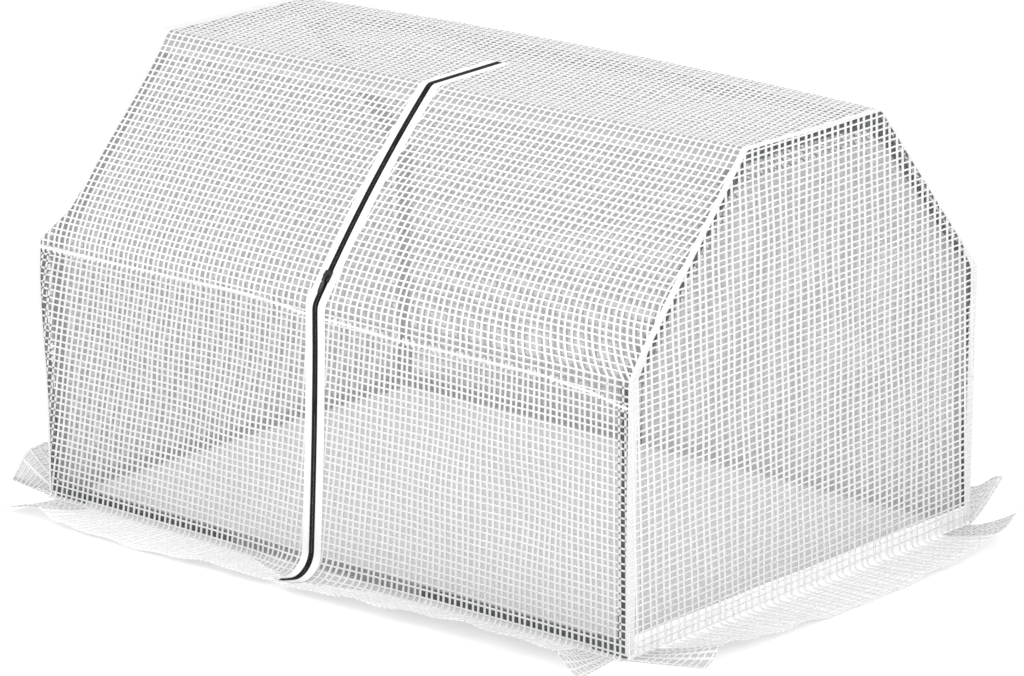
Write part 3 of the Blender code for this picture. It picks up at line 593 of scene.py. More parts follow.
def round_corner(t, ends):
    """A place on the curve between two ends, pulled towards the corner between them."""
    return sum(weight * end for weight, end in zip(((1 - t) ** 2, 2 * t * (1 - t), t ** 2), ends))


def rounded_section(x, s):
    """y and z of the cover with each corner rounded."""
    y, z = sharp_section(x, s)
    for at, reach in CORNERS:
        inside = np.abs(s - at) < reach
        if inside.any():
            t = (s[inside] - at + reach) / (2 * reach)
            ends = [sharp_section(x[inside], np.full(t.shape, place))
                    for place in (at - reach, at, at + reach)]
            y[inside] = round_corner(t, [end[0] for end in ends])
            z[inside] = round_corner(t, [end[1] for end in ends])
    return y, z


def crumple(x, s):
    """How far the film stands out of its smooth shape: not at all where it lies on a tube or near the zip."""
    window = np.zeros(np.shape(x))
    for low, high, strength in CRUMPLE_PARTS:
        share = np.clip((s - low) / (high - low), 0, 1)
        window = window + strength * np.sin(np.pi * share) ** 2
    window = window * np.clip((HALF_LENGTH - HOOP_ROOM - np.abs(x)) / HOOP_FADE, 0, 1)
    window = window * np.where(s > ZIP_ROOF_END, 1 - np.exp(-((x - ZIP_X) / ZIP_FADE) ** 2), 1)
    along = phase(x, BROAD_WAVES[0]) + BROAD_STARTS[0]
    broad = np.sin(along) * np.cos(phase(s, BROAD_WAVES[1]) + BROAD_STARTS[1])
    slant = np.sin(phase(x, SLANT_WAVES[0]) + phase(s, SLANT_WAVES[1]))
    return CRUMPLE * window * (broad + SLANT_SHARE * slant), window


def bulge(y, z):
    """How far the left end of the cover bellies out beyond its hoop, most at the front knee."""
    front = np.clip((HALF_WIDTH - y) / (2 * HALF_WIDTH), 0, 1) ** 3
    near = np.exp(-((z - BULGE_HEIGHT) / BULGE_SPREAD) ** 2)
    return (BACK_BULGE + (FRONT_BULGE - BACK_BULGE) * front) * near


def cover(x, s):
    """Points on the outer face of the cover, x along the tunnel and s round its girth."""
    x, s = np.broadcast_arrays(np.asarray(x, float), np.asarray(s, float))
    y, z = rounded_section(x, s)
    stand, window = crumple(x, s)
    parts = [s <= KNEE_Z, s <= BACK_SHOULDER, s < FRONT_SHOULDER, s < FRONT_KNEE]
    tilt_y = np.select(parts, [1.0, math.sin(SLOPE_ANGLE), 0.0, -math.sin(SLOPE_ANGLE)], -1.0)
    tilt_z = np.select(parts, [0.0, math.cos(SLOPE_ANGLE), 1.0, math.cos(SLOPE_ANGLE)], 0.0)
    fall = s - FRONT_KNEE
    share = np.where(fall > 0, front_section(x, fall)[2], 0.0)
    spare = np.maximum(0.0, 1 - (FOOT_X - np.abs(x)) / SKEW_REACH)
    skew = np.sign(x) * FRONT_SKEW * spare * np.minimum(share, 1.0)
    drift = ZIP_DRIFT * nearness(x) * np.where(fall > 0, lean_share(z), 0.0)
    sway = SWAY * window * np.sin(phase(s, SWAY_WAVES[1]) + SWAY_START) * np.sin(phase(x, SWAY_WAVES[0]))
    left = np.clip((-x - BULGE_START) / BULGE_REACH, 0, 1) ** 2
    x_out = x + skew - drift + sway - bulge(y, z) * left
    return np.stack([x_out, y + tilt_y * stand, z + tilt_z * stand], axis=-1)


def panel_top(y):
    """The height of the end panel at a place across the tunnel."""
    share = np.clip((HALF_WIDTH - np.abs(y)) / (HALF_WIDTH - SHOULDER_Y), 0, 1)
    return KNEE_Z + (TOP - KNEE_Z) * share


def end_cover(side, y, u):
    """Points on an end's outer face: u is the height, or below 0 the distance out over the skirt."""
    y, u = np.broadcast_arrays(np.asarray(y, float), np.asarray(u, float))
    from_front = y + HALF_WIDTH
    start = from_front if side == "left" else 2 * HALF_WIDTH - from_front
    lift = eased(END_FOLDS[side], start / (2 * HALF_WIDTH)) + ripple(start)

    def sharp(u):
        share = np.clip(-u / SKIRT, 0, None)
        out = np.where(u < 0, skirt_reach(lift) * share, 0.0)
        height = np.where(u < 0, BASE + lift * share ** EDGE_CURVE, np.maximum(u, BASE))
        return out, height, share

    out, height, share = sharp(u)
    t = np.clip((u + CREASE) / (2 * CREASE), 0, 1)
    ends = [sharp(np.full(np.shape(u), place)) for place in (-CREASE, 0.0, CREASE)]
    inside = np.abs(u) < CREASE
    out = np.where(inside, round_corner(t, [end[0] for end in ends]), out)
    height = np.where(inside, round_corner(t, [end[1] for end in ends]), height)
    skew = END_SKEWS[side] * np.maximum(0.0, 1 - from_front / SKEW_REACH) * np.minimum(share, 1.0)
    room = np.clip((panel_top(y) - height) / END_FADES["top"], 0, 1)
    room = room * np.clip(height / END_FADES["ground"], 0, 1)
    room = room * np.clip((HALF_WIDTH - np.abs(y) - HOOP_ROOM) / END_FADES["legs"], 0, 1)
    broad = np.sin(phase(y, END_WAVES[0]) + END_WAVE_START) * np.cos(phase(height, END_WAVES[1]))
    stand = END_CRUMPLE * room * (broad + END_SLANT_SHARE * np.sin(phase(y + height, END_WAVES[2])))
    x = SIGNS[side] * (HALF_LENGTH + out + stand)
    if side == "left":
        x = x - bulge(y, height)
    return np.stack([x, y + skew, height], axis=-1)


def facing(surface, a, b):
    """The directions square to a surface, from small steps along both of its ways."""
    along = surface(a + FACING_STEP, b) - surface(a - FACING_STEP, b)
    up = surface(a, b + FACING_STEP) - surface(a, b - FACING_STEP)
    out = np.cross(up, along)
    return out / np.maximum(1e-12, np.linalg.norm(out, axis=-1, keepdims=True))


# Meshes

def new_piece(name, mesh, *materials):
    """An object at the origin with its materials."""
    mesh.name = name
    made = bpy.data.objects.new(name, mesh)
    bpy.context.scene.collection.objects.link(made)
    # Clearing also resets the faces' material numbers, so only a copied mesh is cleared
    if mesh.materials:
        mesh.materials.clear()
    for finish in materials:
        mesh.materials.append(finish)
    return made


def worked(change, mesh=None):
    """A new mesh, or a given one, after a change made with bmesh."""
    work = bmesh.new()
    if mesh is None:
        mesh = bpy.data.meshes.new("shape")
    else:
        work.from_mesh(mesh)
    change(work)
    work.to_mesh(mesh)
    work.free()
    return mesh


def outward(mesh):
    """Turn a closed mesh's faces so that they all point out."""
    return worked(lambda work: bmesh.ops.recalc_face_normals(work, faces=work.faces[:]), mesh)


def shaded(mesh, angle):
    """Shade a mesh smooth, but for edges sharper than an angle in degrees."""
    mesh.shade_smooth()
    mesh.set_sharp_from_angle(angle=math.radians(angle))
    return mesh


def applied(piece):
    """Give a piece the mesh that its modifiers make of it, and take them off."""
    view = bpy.context.evaluated_depsgraph_get()
    result = bpy.data.meshes.new_from_object(piece.evaluated_get(view))
    piece.modifiers.clear()
    piece.data = result
    return result


def mesh_of(points, faces):
    """A mesh from points and faces, without the points that no face uses."""
    used = sorted({k for face in faces for k in face})
    number = {old: new for new, old in enumerate(used)}
    points = points.reshape(-1, 3)
    mesh = bpy.data.meshes.new("shape")
    mesh.from_pydata([tuple(points[k]) for k in used], [], [tuple(number[k] for k in face) for face in faces])
    return shaded(mesh, 50)


def always(r, c):
    """Keep every cell of a grid."""
    return True


def sheet_mesh(points, out, thickness, kind=None, keep=always, side=1):
    """A closed sheet over a grid of points: the faces that are kept, the same faces one thickness in, and a
    rim along every open edge. The kind of a cell is its material's number."""
    rows, columns = points.shape[:2]
    cells = [(r, c) for r in range(rows - 1) for c in range(columns - 1) if keep(r, c)]
    corners = [r * columns + c for r, c in cells]
    faces = [(a, a + columns, a + columns + 1, a + 1)[::side] for a in corners]
    count = rows * columns
    edges = {edge for face in faces for edge in zip(face, face[1:] + face[:1])}
    inner = [tuple(count + k for k in reversed(face)) for face in faces]
    rim = [(b, a, count + a, count + b) for a, b in sorted(edges) if (b, a) not in edges]
    mesh = mesh_of(np.concatenate([points, points - out * thickness]), faces + inner + rim)
    if kind:
        kinds = [kind(*cell) for cell in cells]
        mesh.polygons.foreach_set("material_index", kinds + kinds + [0] * len(rim))
    return mesh


def swept_mesh(points):
    """A closed mesh over rings of points, each ring joined to the next one."""
    rings, count = points.shape[:2]
    faces = [tuple(reversed(range(count))), tuple(count * (rings - 1) + k for k in range(count))]
    for ring in range(rings - 1):
        for corner in range(count):
            a, b = count * ring + corner, count * ring + (corner + 1) % count
            faces.append((a, b, b + count, a + count))
    return outward(mesh_of(points, faces))


def steps_between(steps, fixed, room=CROWD):
    """Steps and fixed places in order, without the steps that crowd a fixed place."""
    kept = [s for s in steps if all(abs(s - f) > room for f in fixed)]
    return np.array(sorted(kept + list(fixed)))


def corner_steps(*corners):
    """Steps round corners of the cover, each given as its place and its reach."""
    return [at + reach * k for at, reach in corners for k in (-1.0, -0.5, 0.0, 0.5, 1.0)]


def paired(low, high, pitch, pairing):
    """Places at an even pitch, every other one moved a little up and the rest down."""
    steps = np.arange(int((high - low) / pitch) + 1)
    return low + steps * pitch + np.where(steps % 2, pairing, -pairing)


def girth_places(sizes, reach=GIRTH_REACH):
    """Even places at the upright threads' pitch, as far as a reach either way."""
    pitch = sizes.girth_pitch
    half = pitch * int(reach / pitch)
    return paired(-half, half + pitch / 2, pitch, sizes.girth_pairing)


def length_places(sizes):
    """Where the level threads are round the girth, from the back hem."""
    return paired(CROWD - SKIRT, FRONT_KNEE + KNEE_Z + SKIRT, sizes.length_pitch, sizes.length_pairing)


def knee_places(sizes):
    """Where the long sheet's upright threads cross the front knee, some of them beyond the hoops."""
    places = [KNEE_THREADS[0]]
    while places[-1] < KNEE_THREADS[1]:
        side = 2 * sizes.girth_pairing * (1 if len(places) % 2 else -1)
        places.append(places[-1] + sizes.girth_pitch * (KNEE_SPREAD + KNEE_SPREAD_RISE * places[-1]) + side)
    return places


def thread_over(start, s):
    """Where an upright thread of the long sheet is along the tunnel, from its place at the front knee."""
    share = np.clip((FRONT_KNEE - s) / SLOPE, 0, 1)
    rise = SLOPE_BEND_RIGHT if start > LEAST_BEND_X else SLOPE_BEND_LEFT
    bend = SLOPE_BEND + rise * (start - LEAST_BEND_X) ** 2
    stray = SLOPE_STRAY - SLOPE_STRAY_FALL * (start - MOST_STRAY_X) ** 2
    back = np.clip(FRONT_SHOULDER - s, 0, 2 * SHOULDER_Y)
    return start + stray * share ** 2 - bend * share * (1 - share) ** 2 - ROOF_LEAN * back


def zip_room(x, s):
    """How far a place on the cover is from the zip's tapes, below 0 on them."""
    return np.maximum(np.abs(x - ZIP_X) - TAPE_EDGE, ZIP_ROOF_END - s)


def lines_on(surface, a, b, room, sink, side=1):
    """The parts of a line on a surface where there is room for it, each ending where the room runs out. They
    are given as points, sunk by a depth below the outer face, and outward directions."""
    parts, current = [], []
    for k in range(len(a)):
        if k and (room[k] >= 0) != (room[k - 1] >= 0):
            share = room[k - 1] / (room[k - 1] - room[k])
            if LEAST_SHARE < share < 1 - LEAST_SHARE:
                current.append((a[k - 1] + (a[k] - a[k - 1]) * share, b[k - 1] + (b[k] - b[k - 1]) * share))
        if room[k] >= 0:
            current.append((a[k], b[k]))
        else:
            parts.append(current)
            current = []
    lines = []
    for part in [*parts, current]:
        if len(part) > 1:
            a, b = np.array(part).T
            out = facing(surface, a, b) * side
            lines.append((surface(a, b) - out * sink, out))
    return lines


def thinned(places):
    """Every other place, and the last one."""
    return np.append(places[:-1:2], places[-1])


# Repeated pieces made with nodes

def new_tree(name, inputs):
    """A geometry node group with one geometry input, named sizes and one geometry output."""
    tree = bpy.data.node_groups.new(name, "GeometryNodeTree")
    tree.interface.new_socket("Geometry", in_out="INPUT", socket_type="NodeSocketGeometry")
    for label in inputs:
        tree.interface.new_socket(label, in_out="INPUT", socket_type="NodeSocketFloat")
    tree.interface.new_socket("Geometry", in_out="OUTPUT", socket_type="NodeSocketGeometry")
    return tree, add_node(tree, "NodeGroupInput").outputs


def direction(tree, name):
    """A direction that is kept on the points."""
    return add_node(tree, "GeometryNodeInputNamedAttribute", {"Name": name},
                    data_type="FLOAT_VECTOR").outputs["Attribute"]


def finish_tree(tree, geometry, finish):
    """Realize the instances, set their material and send them out."""
    real = add_node(tree, "GeometryNodeRealizeInstances", {"Geometry": geometry}).outputs["Geometry"]
    painted = add_node(tree, "GeometryNodeSetMaterial", {"Geometry": real, "Material": finish})
    add_node(tree, "NodeGroupOutput", {"Geometry": painted.outputs["Geometry"]})
    return tree


def ribbon_tree(finish):
    """Flat ribbons along lines, each lying square to the line's own outward direction."""
    tree, given = new_tree("ribbons_" + finish.name, ("Width", "Thickness"))
    curve = add_node(tree, "GeometryNodeMeshToCurve", {"Mesh": given["Geometry"]}).outputs["Curve"]
    turned = add_node(tree, "GeometryNodeSetCurveNormal", {"Curve": curve, "Normal": direction(tree, "out")},
                      mode="FREE")
    section = add_node(tree, "GeometryNodeCurvePrimitiveQuadrilateral",
                       {"Width": given["Thickness"], "Height": given["Width"]})
    swept = add_node(tree, "GeometryNodeCurveToMesh", {
        "Curve": turned.outputs["Curve"], "Profile Curve": section.outputs["Curve"], "Fill Caps": True})
    return finish_tree(tree, swept.outputs["Mesh"], finish)


def rung_tree(finish):
    """Short round rungs on points, each across the line of points and lying on its outward side."""
    tree, given = new_tree("rungs_" + finish.name, ("Length", "Width"))
    half = add_node(tree, "ShaderNodeMath", {0: given["Width"], 1: 0.5}, operation="MULTIPLY").outputs[0]
    rung = add_node(tree, "GeometryNodeMeshCylinder", {
        "Vertices": 8, "Radius": half, "Depth": given["Length"]})
    lying = add_node(tree, "GeometryNodeTransform", {
        "Geometry": rung.outputs["Mesh"], "Rotation": (0.0, math.pi / 2, 0.0)})
    turn = add_node(tree, "FunctionNodeAxesToRotation", {
        0: direction(tree, "out"), 1: direction(tree, "across")}, primary_axis="Z", secondary_axis="X")
    placed = add_node(tree, "GeometryNodeInstanceOnPoints", {
        "Points": given["Geometry"], "Instance": lying.outputs["Geometry"],
        "Rotation": turn.outputs["Rotation"]})
    return finish_tree(tree, placed.outputs["Instances"], finish)


def grow(name, mesh, tree, sizes, finish):
    """Run a node tree on a mesh, keep the result as a plain mesh, and take the modifier off."""
    made = new_piece(name, mesh, finish)
    modifier = made.modifiers.new("grow", "NODES")
    modifier.node_group = tree
    sockets = {item.name: item.identifier for item in tree.interface.items_tree if item.in_out == "INPUT"}
    for label, value in sizes.items():
        modifier[sockets[label]] = value
    result = applied(made)
    result.name = name
    for extra in ("out", "across"):
        if extra in result.attributes:
            result.attributes.remove(result.attributes[extra])
    return made


def guide_mesh(points, edges, **directions):
    """A mesh of points and edges for a node tree, with directions kept on the points."""
    mesh = bpy.data.meshes.new("guide")
    mesh.from_pydata(points.tolist(), edges, [])
    for name, values in directions.items():
        mesh.attributes.new(name, "FLOAT_VECTOR", "POINT").data.foreach_set("vector", values.ravel())
    return mesh


def weave(name, lines, width, context):
    """Threads of one width along lines on the film, each line given as points and outward directions."""
    finish = finishes(context)["thread"]
    edges, start = [], 0
    for points, out in lines:
        edges += [(k, k + 1) for k in range(start, start + len(points) - 1)]
        start += len(points)
    points, out = (np.concatenate(part) for part in zip(*lines))
    settings = {"Width": width, "Thickness": context.scene.greenhouse_sizes.thread_thickness}
    return grow(name, guide_mesh(points, edges, out=out), ribbon_tree(finish), settings, finish)


# Frame

def turn_to(way):
    """The rotation that takes +Z to a direction."""
    return Vector(way).to_track_quat("Z", "Y").to_matrix().to_4x4()


def rod_mesh(start, end, radius):
    """A closed round rod between two points."""
    place = Matrix.Translation((start + end) / 2) @ turn_to(end - start)
    return worked(lambda work: bmesh.ops.create_cone(
        work, cap_ends=True, segments=SIDES, radius1=radius, radius2=radius, depth=(end - start).length,
        matrix=place))


def ball_mesh(centre, radius):
    """A closed ball."""
    return worked(lambda work: bmesh.ops.create_icosphere(
        work, subdivisions=4, radius=radius, matrix=Matrix.Translation(centre)))


def box_mesh(low, high):
    """A closed box between two corners."""
    low, high = Vector(low), Vector(high)
    place = Matrix.Translation((low + high) / 2) @ Matrix.Diagonal((*(high - low), 1.0))
    return worked(lambda work: bmesh.ops.create_cube(work, size=1.0, matrix=place))


def combine(base, others, operation):
    """The Boolean of a mesh with a list of meshes, as a new mesh."""
    body = new_piece("body", base)
    helpers = [new_piece("cutter_%d" % number, other) for number, other in enumerate(others)]
    for helper in helpers:
        cut = body.modifiers.new("cut", "BOOLEAN")
        cut.operation = operation
        cut.solver = "EXACT"
        cut.object = helper
    result = applied(body)
    for item in [body, *helpers]:
        bpy.data.objects.remove(item, do_unlink=True)
    return result


def soften(piece, width, angle=40):
    """Round a piece's hard edges a little and shade it smooth."""
    bevel = piece.modifiers.new("edges", "BEVEL")
    bevel.width = width
    bevel.segments = 2
    bevel.limit_method = "ANGLE"
    bevel.angle_limit = math.radians(angle)
    shaded(applied(piece), angle)
    return piece


def tube_mesh(start, end):
    """An open-ended tube between two points, its rims slightly rounded."""
    turn = turn_to(end - start).to_3x3()
    way = (end - start).normalized()
    inner, lip = TUBE_RADIUS - TUBE_WALL, TUBE_WALL / 3
    rim = [(lip, TUBE_RADIUS), (0.0, TUBE_RADIUS - lip), (0.0, inner + lip), (lip, inner)]
    section = [(start, shift, radius) for shift, radius in rim]
    section += [(end, -shift, radius) for shift, radius in reversed(rim)]
    points, faces = [], []
    for centre, shift, radius in section:
        for k in range(SIDES):
            angle = 2 * math.pi * k / SIDES
            round_it = turn @ Vector((radius * math.cos(angle), radius * math.sin(angle), 0))
            points.append(centre + way * shift + round_it)
    for ring in range(len(section)):
        after = (ring + 1) % len(section)
        for k in range(SIDES):
            following = (k + 1) % SIDES
            faces.append((ring * SIDES + k, after * SIDES + k, after * SIDES + following,
                          ring * SIDES + following))
    mesh = bpy.data.meshes.new("tube")
    mesh.from_pydata([tuple(p) for p in points], [], faces)
    return shaded(outward(mesh), 30)


def hubs(side):
    """The frame's joint centres on one hoop."""
    x, points = SIGNS[side] * HOOP_X, {}
    for name, way in (("front", -1), ("back", 1)):
        points["foot_" + name] = Vector((x, way * LEG_Y, RAIL_Z))
        points["knee_" + name] = Vector((x, way * LEG_Y, KNEE_HUB_Z))
        points["shoulder_" + name] = Vector((x, way * SHOULDER_HUB_Y, TOP_Z))
    return points


def connector_mesh(hub, ways):
    """A moulded connector: a ball, a socket with a rolled lip for each way, and its bores."""
    arms, bores = [], []
    for way in ways:
        unit = way.normalized()
        arms.append(rod_mesh(hub, hub + unit * SOCKET_REACH, SOCKET_RADIUS))
        arms.append(rod_mesh(hub + unit * (SOCKET_REACH - LIP), hub + unit * (SOCKET_REACH - LIP_INSET),
                             HUB_RADIUS - 2 * LIP_INSET))
        bores.append(rod_mesh(hub + unit * SEAT, hub + unit * (SOCKET_REACH + SEAT), BORE_RADIUS))
    return combine(combine(ball_mesh(hub, HUB_RADIUS), arms, "UNION"), bores, "DIFFERENCE")


def stand_for(piece, node, body=ROOT):
    """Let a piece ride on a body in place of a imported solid."""
    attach(piece, body)
    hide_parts(node)


class GREENHOUSE_OT_tubes(bpy.types.Operator):
    """Make the frame's coated tubes"""

    bl_idname = "greenhouse.tubes"
    bl_label = "Frame tubes"

    def execute(self, context):
        paint = finishes(context)["tube"]
        at = {side: hubs(side) for side in SIGNS}
        spans = []
        for side, hub in at.items():
            for name in ("front", "back"):
                place = "%s_%s" % (name, side)
                spans.append(("leg_tube_" + place, hub["foot_" + name], hub["knee_" + name]))
                spans.append(("slope_tube_" + place, hub["knee_" + name], hub["shoulder_" + name]))
            spans.append(("top_tube_" + side, hub["shoulder_front"], hub["shoulder_back"]))
            spans.append(("ground_rail_" + side, hub["foot_front"], hub["foot_back"]))
        for name in ("front", "back"):
            for rail, hub in (("ground_rail_", "foot_"), ("roof_rail_", "shoulder_")):
                spans.append((rail + name, at["left"][hub + name], at["right"][hub + name]))
        for node, start, finish in spans:
            seat = (finish - start).normalized() * SEAT
            piece = new_piece("coated_" + node, tube_mesh(start + seat, finish - seat), paint)
            stand_for(piece, node)
        return {"FINISHED"}


class GREENHOUSE_OT_connectors(bpy.types.Operator):
    """Make the moulded feet, elbows and shoulder joints"""

    bl_idname = "greenhouse.connectors"
    bl_label = "Connectors"

    def execute(self, context):
        paint = finishes(context)["socket"]
        reach = 2 * SOCKET_REACH
        for side, sign in SIGNS.items():
            at = hubs(side)
            inward = Vector((-sign, 0, 0))
            for name, way in (("front", -1), ("back", 1)):
                across = Vector((0, -way, 0))
                foot, knee, shoulder = (at[k + name] for k in ("foot_", "knee_", "shoulder_"))
                plan = (("corner_foot_", foot, [knee - foot, inward, across]),
                        ("knee_elbow_", knee, [foot - knee, shoulder - knee]),
                        ("shoulder_joint_", shoulder, [knee - shoulder, across, inward]))
                for kind, hub, ways in plan:
                    node = "%s%s_%s" % (kind, name, side)
                    shape = connector_mesh(hub, ways)
                    if kind == "corner_foot_":
                        ground = box_mesh((hub.x - reach, hub.y - reach, -HUB_RADIUS),
                                          (hub.x + reach, hub.y + reach, 0))
                        shape = combine(shape, [ground], "DIFFERENCE")
                    piece = soften(new_piece("moulded_" + node, shape, paint), MOULD_ROUND)
                    stand_for(piece, node)
        return {"FINISHED"}


# Film

def film_columns(sizes, low, high, extra):
    """Where a sheet's columns are along the tunnel: one on each upright thread, and the extra ones."""
    lines = [x for x in girth_places(sizes) if low < x < high]
    return steps_between(lines, [low, high, *extra])


def skirt_blend(piece):
    """Bake a piece's placement into its mesh."""
    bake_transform(piece)


def door_blend(piece, side):
    """Work out the way below a front flap's diagonal fold, which is not used, and bake a piece's placement
    into its mesh.
    """
    sign = SIGNS[side]
    foot = Vector((sign * FOOT_X, -HALF_WIDTH, CORNER_RISE))
    top = Vector((ZIP_X + sign * FLAP_ROOM, -HALF_WIDTH, KNEE_Z - FLAP_DROP))
    below = Vector((0, -1, 0)).cross((top - foot).normalized()) * sign
    if below.z > 0:
        below = -below
    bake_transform(piece)


class GREENHOUSE_OT_tunnel_sheet(bpy.types.Operator):
    """Make the long sheet over the back, the roof and the front slope, with its threads"""

    bl_idname = "greenhouse.tunnel_sheet"
    bl_label = "Long sheet"

    def execute(self, context):
        sizes, paint = context.scene.greenhouse_sizes, finishes(context)
        last = FRONT_KNEE + SHEET_END
        places = length_places(sizes)
        fixed = [-SKIRT, ZIP_ROOF_END, last, *corner_steps(*CORNERS)]
        steps = [s for k, s in enumerate(places) if s < last and (s < 0 or k % 2 == 0)]
        rows = steps_between(steps, [f for f in fixed if f <= last])
        columns = film_columns(sizes, -HALF_LENGTH, HALF_LENGTH, [ZIP_X - SLOT, ZIP_X + SLOT])
        x, s = np.meshgrid(columns, rows)

        def keep(r, c):
            in_slot = abs((columns[c] + columns[c + 1]) / 2 - ZIP_X) < SLOT
            return not (in_slot and rows[r] >= ZIP_ROOF_END - HAIR)

        def kind(r, c):
            middle = (rows[r] + rows[r + 1]) / 2
            over_rail = min(abs(middle - BACK_SHOULDER), abs(middle - FRONT_SHOULDER)) < RAIL_REACH
            # Skirt cells away from the fans get the skirt film, whose near-white tone is painted light
            pale = rows[r] < 0 and abs(columns[c]) < HALF_LENGTH - FAN
            return 1 if pale else 2 if over_rail else 0

        mesh = sheet_mesh(cover(x, s), facing(cover, x, s), sizes.film_thickness, kind, keep)
        sheet = new_piece("tunnel_sheet", mesh, paint["film"], paint["skirt"], paint["stretched"])

        sink = sizes.film_thickness / 2
        below = np.concatenate([rows, FRONT_KNEE + np.array(LAP_STEPS)])
        upright, level = [], []
        for start in knee_places(sizes):
            along = thread_over(start, below)
            room = np.minimum.reduce([THREAD_EDGE - np.abs(along), zip_room(along, below),
                                      FRONT_KNEE + seam_fall(along) + SEAM_LAP - below])
            upright += lines_on(cover, along, below, room, sink)
        for place in places:
            span = columns if place <= CREASE else thinned(columns)
            girth = np.full(len(span), place)
            room = np.minimum(zip_room(span, girth), FRONT_KNEE + seam_fall(span) + SEAM_LAP - girth)
            level += lines_on(cover, span, girth, room, sink)
        girth = weave("tunnel_girth_threads", upright, sizes.girth_width, context)
        long = weave("tunnel_length_threads", level, sizes.length_width, context)
        for piece in (sheet, girth, long):
            skirt_blend(piece)
        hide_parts("skirt_back", "back_wall", "back_slope", "roof_panel", "front_slope_left",
                    "front_slope_right")
        return {"FINISHED"}


def near_tube(y, z):
    """Whether a place on an end panel lies over the hoop's tubes."""
    inside = min(HALF_WIDTH - abs(y), TOP - z, (panel_top(y) - z) * math.cos(SLOPE_ANGLE))
    return HUB_INSET - CLING < inside < HUB_INSET + CLING


def binding_mesh(side, sizes):
    """The folded edge along one hoop, turned over the corner where the end meets the long sheet."""
    sign = SIGNS[side]
    last = FRONT_KNEE + KNEE_Z - BASE
    steps = list(np.arange(BINDING_START, last - BINDING_START, BINDING_STEP))
    rows = steps_between(steps, [CREASE, last - CREASE, *corner_steps(*CORNERS[1:])])
    edge = cover(sign * HALF_LENGTH, rows)
    way = np.gradient(edge, axis=0)
    out = np.stack([np.zeros(len(rows)), way[:, 2], -way[:, 1]], axis=-1)
    out = out / np.linalg.norm(out, axis=-1, keepdims=True)
    beyond = np.array([sign, 0.0, 0.0])
    on_slope = np.clip(np.minimum(rows - KNEE_Z, FRONT_KNEE - rows) / BINDING_FADE, 0, 1)
    wide = sizes.binding_left if side == "left" else sizes.binding_slope
    turn = sizes.binding_wall + (wide - sizes.binding_wall) * on_slope
    inward = out * (sizes.binding_post + (sizes.binding_arch - sizes.binding_post) * on_slope)[:, None]
    ring = [edge + beyond * BINDING_HIGH - inward, edge + beyond * BINDING_HIGH + out * BINDING_HIGH]
    for height, share in ((BINDING_HIGH, 0.5), (BINDING_HIGH, 1.0), (BINDING_LOW, 1.0), (BINDING_LOW, 0.5)):
        x = sign * (HALF_LENGTH - turn * share)
        ring.append(cover(x, rows) + facing(cover, x, rows) * height)
    ring += [edge + (beyond + out) * BINDING_LOW, edge + beyond * BINDING_LOW - inward]
    return swept_mesh(np.stack(ring, axis=1))


class GREENHOUSE_OT_end_sheets(bpy.types.Operator):
    """Make the two end panels with their skirts, threads and folded edges"""

    bl_idname = "greenhouse.end_sheets"
    bl_label = "End panels"

    def execute(self, context):
        for side in SIGNS:
            self.build(context, side)
        return {"FINISHED"}

    def build(self, context, side):
        sizes, paint = context.scene.greenhouse_sizes, finishes(context)
        sign = SIGNS[side]

        def surface(y, u):
            return end_cover(side, y, u)

        edge = HALF_WIDTH - END_EDGE
        lines = [y for y in girth_places(sizes) if abs(y) < HALF_WIDTH - END_LINE_ROOM]
        columns = steps_between(lines, [-edge, -SHOULDER_Y, SHOULDER_Y, edge])
        low = paired(CROWD - SKIRT, -CREASE - CROWD, sizes.end_length_pitch, sizes.length_pairing)
        lower = np.array([-SKIRT, *low[1:], *corner_steps(CORNERS[0]), (CREASE + PALE_BAND_RISE) / 2, PALE_BAND_RISE])
        shares = np.linspace(0, 1, END_ROWS)[1:]
        u = np.stack([np.concatenate([lower, PALE_BAND_RISE + shares * (panel_top(y) - END_EDGE - PALE_BAND_RISE)])
                      for y in columns], axis=1)
        y = np.broadcast_to(columns, u.shape)

        def kind(r, c):
            middle_y = (columns[c] + columns[c + 1]) / 2
            middle_u = (u[r, c] + u[r + 1, c + 1]) / 2
            # The skirt and the pale band at the foot get the skirt film, whose near-white tone is painted
            # light
            pale = middle_u < PALE_BAND_RISE and abs(middle_y) < HALF_WIDTH - FAN * (middle_u < 0)
            return 2 if pale else int(middle_u > CREASE and near_tube(middle_y, middle_u))

        out = facing(surface, y, u) * sign
        mesh = sheet_mesh(surface(y, u), out, sizes.film_thickness, kind, side=sign)
        sheet = new_piece("end_sheet_" + side, mesh, paint["end"], paint["clinging"], paint["skirt"])

        sink = sizes.film_thickness / 2
        tall = np.concatenate([lower[:-2], np.linspace(CREASE, TOP, END_ROWS)[1:]])
        upright, level = [], []
        for start in paired(*END_THREADS, sizes.end_pitch, sizes.end_pairing):
            along = start - END_LEAN * np.maximum(tall, 0)
            room = np.minimum(panel_top(along) - END_EDGE - tall, HALF_WIDTH - CROWD - np.abs(along))
            upright += lines_on(surface, along, tall, room, sink, sign)
        for place in [*low, *paired(*END_LEVELS, sizes.end_length_pitch, sizes.length_pairing)]:
            span = columns if place < 0 else thinned(columns)
            height = place + END_RISE * span * (place > 0)
            room = panel_top(span) - END_EDGE - height
            level += lines_on(surface, span, height, room, sink, sign)
        girth = weave("end_girth_threads_" + side, upright, sizes.end_width, context)
        long = weave("end_length_threads_" + side, level, sizes.length_width, context)
        binding = new_piece("hoop_binding_" + side, binding_mesh(side, sizes), paint["binding"])
        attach(binding, ROOT)
        for piece in (sheet, girth, long):
            skirt_blend(piece)
        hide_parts("end_panel_" + side, "skirt_" + side)


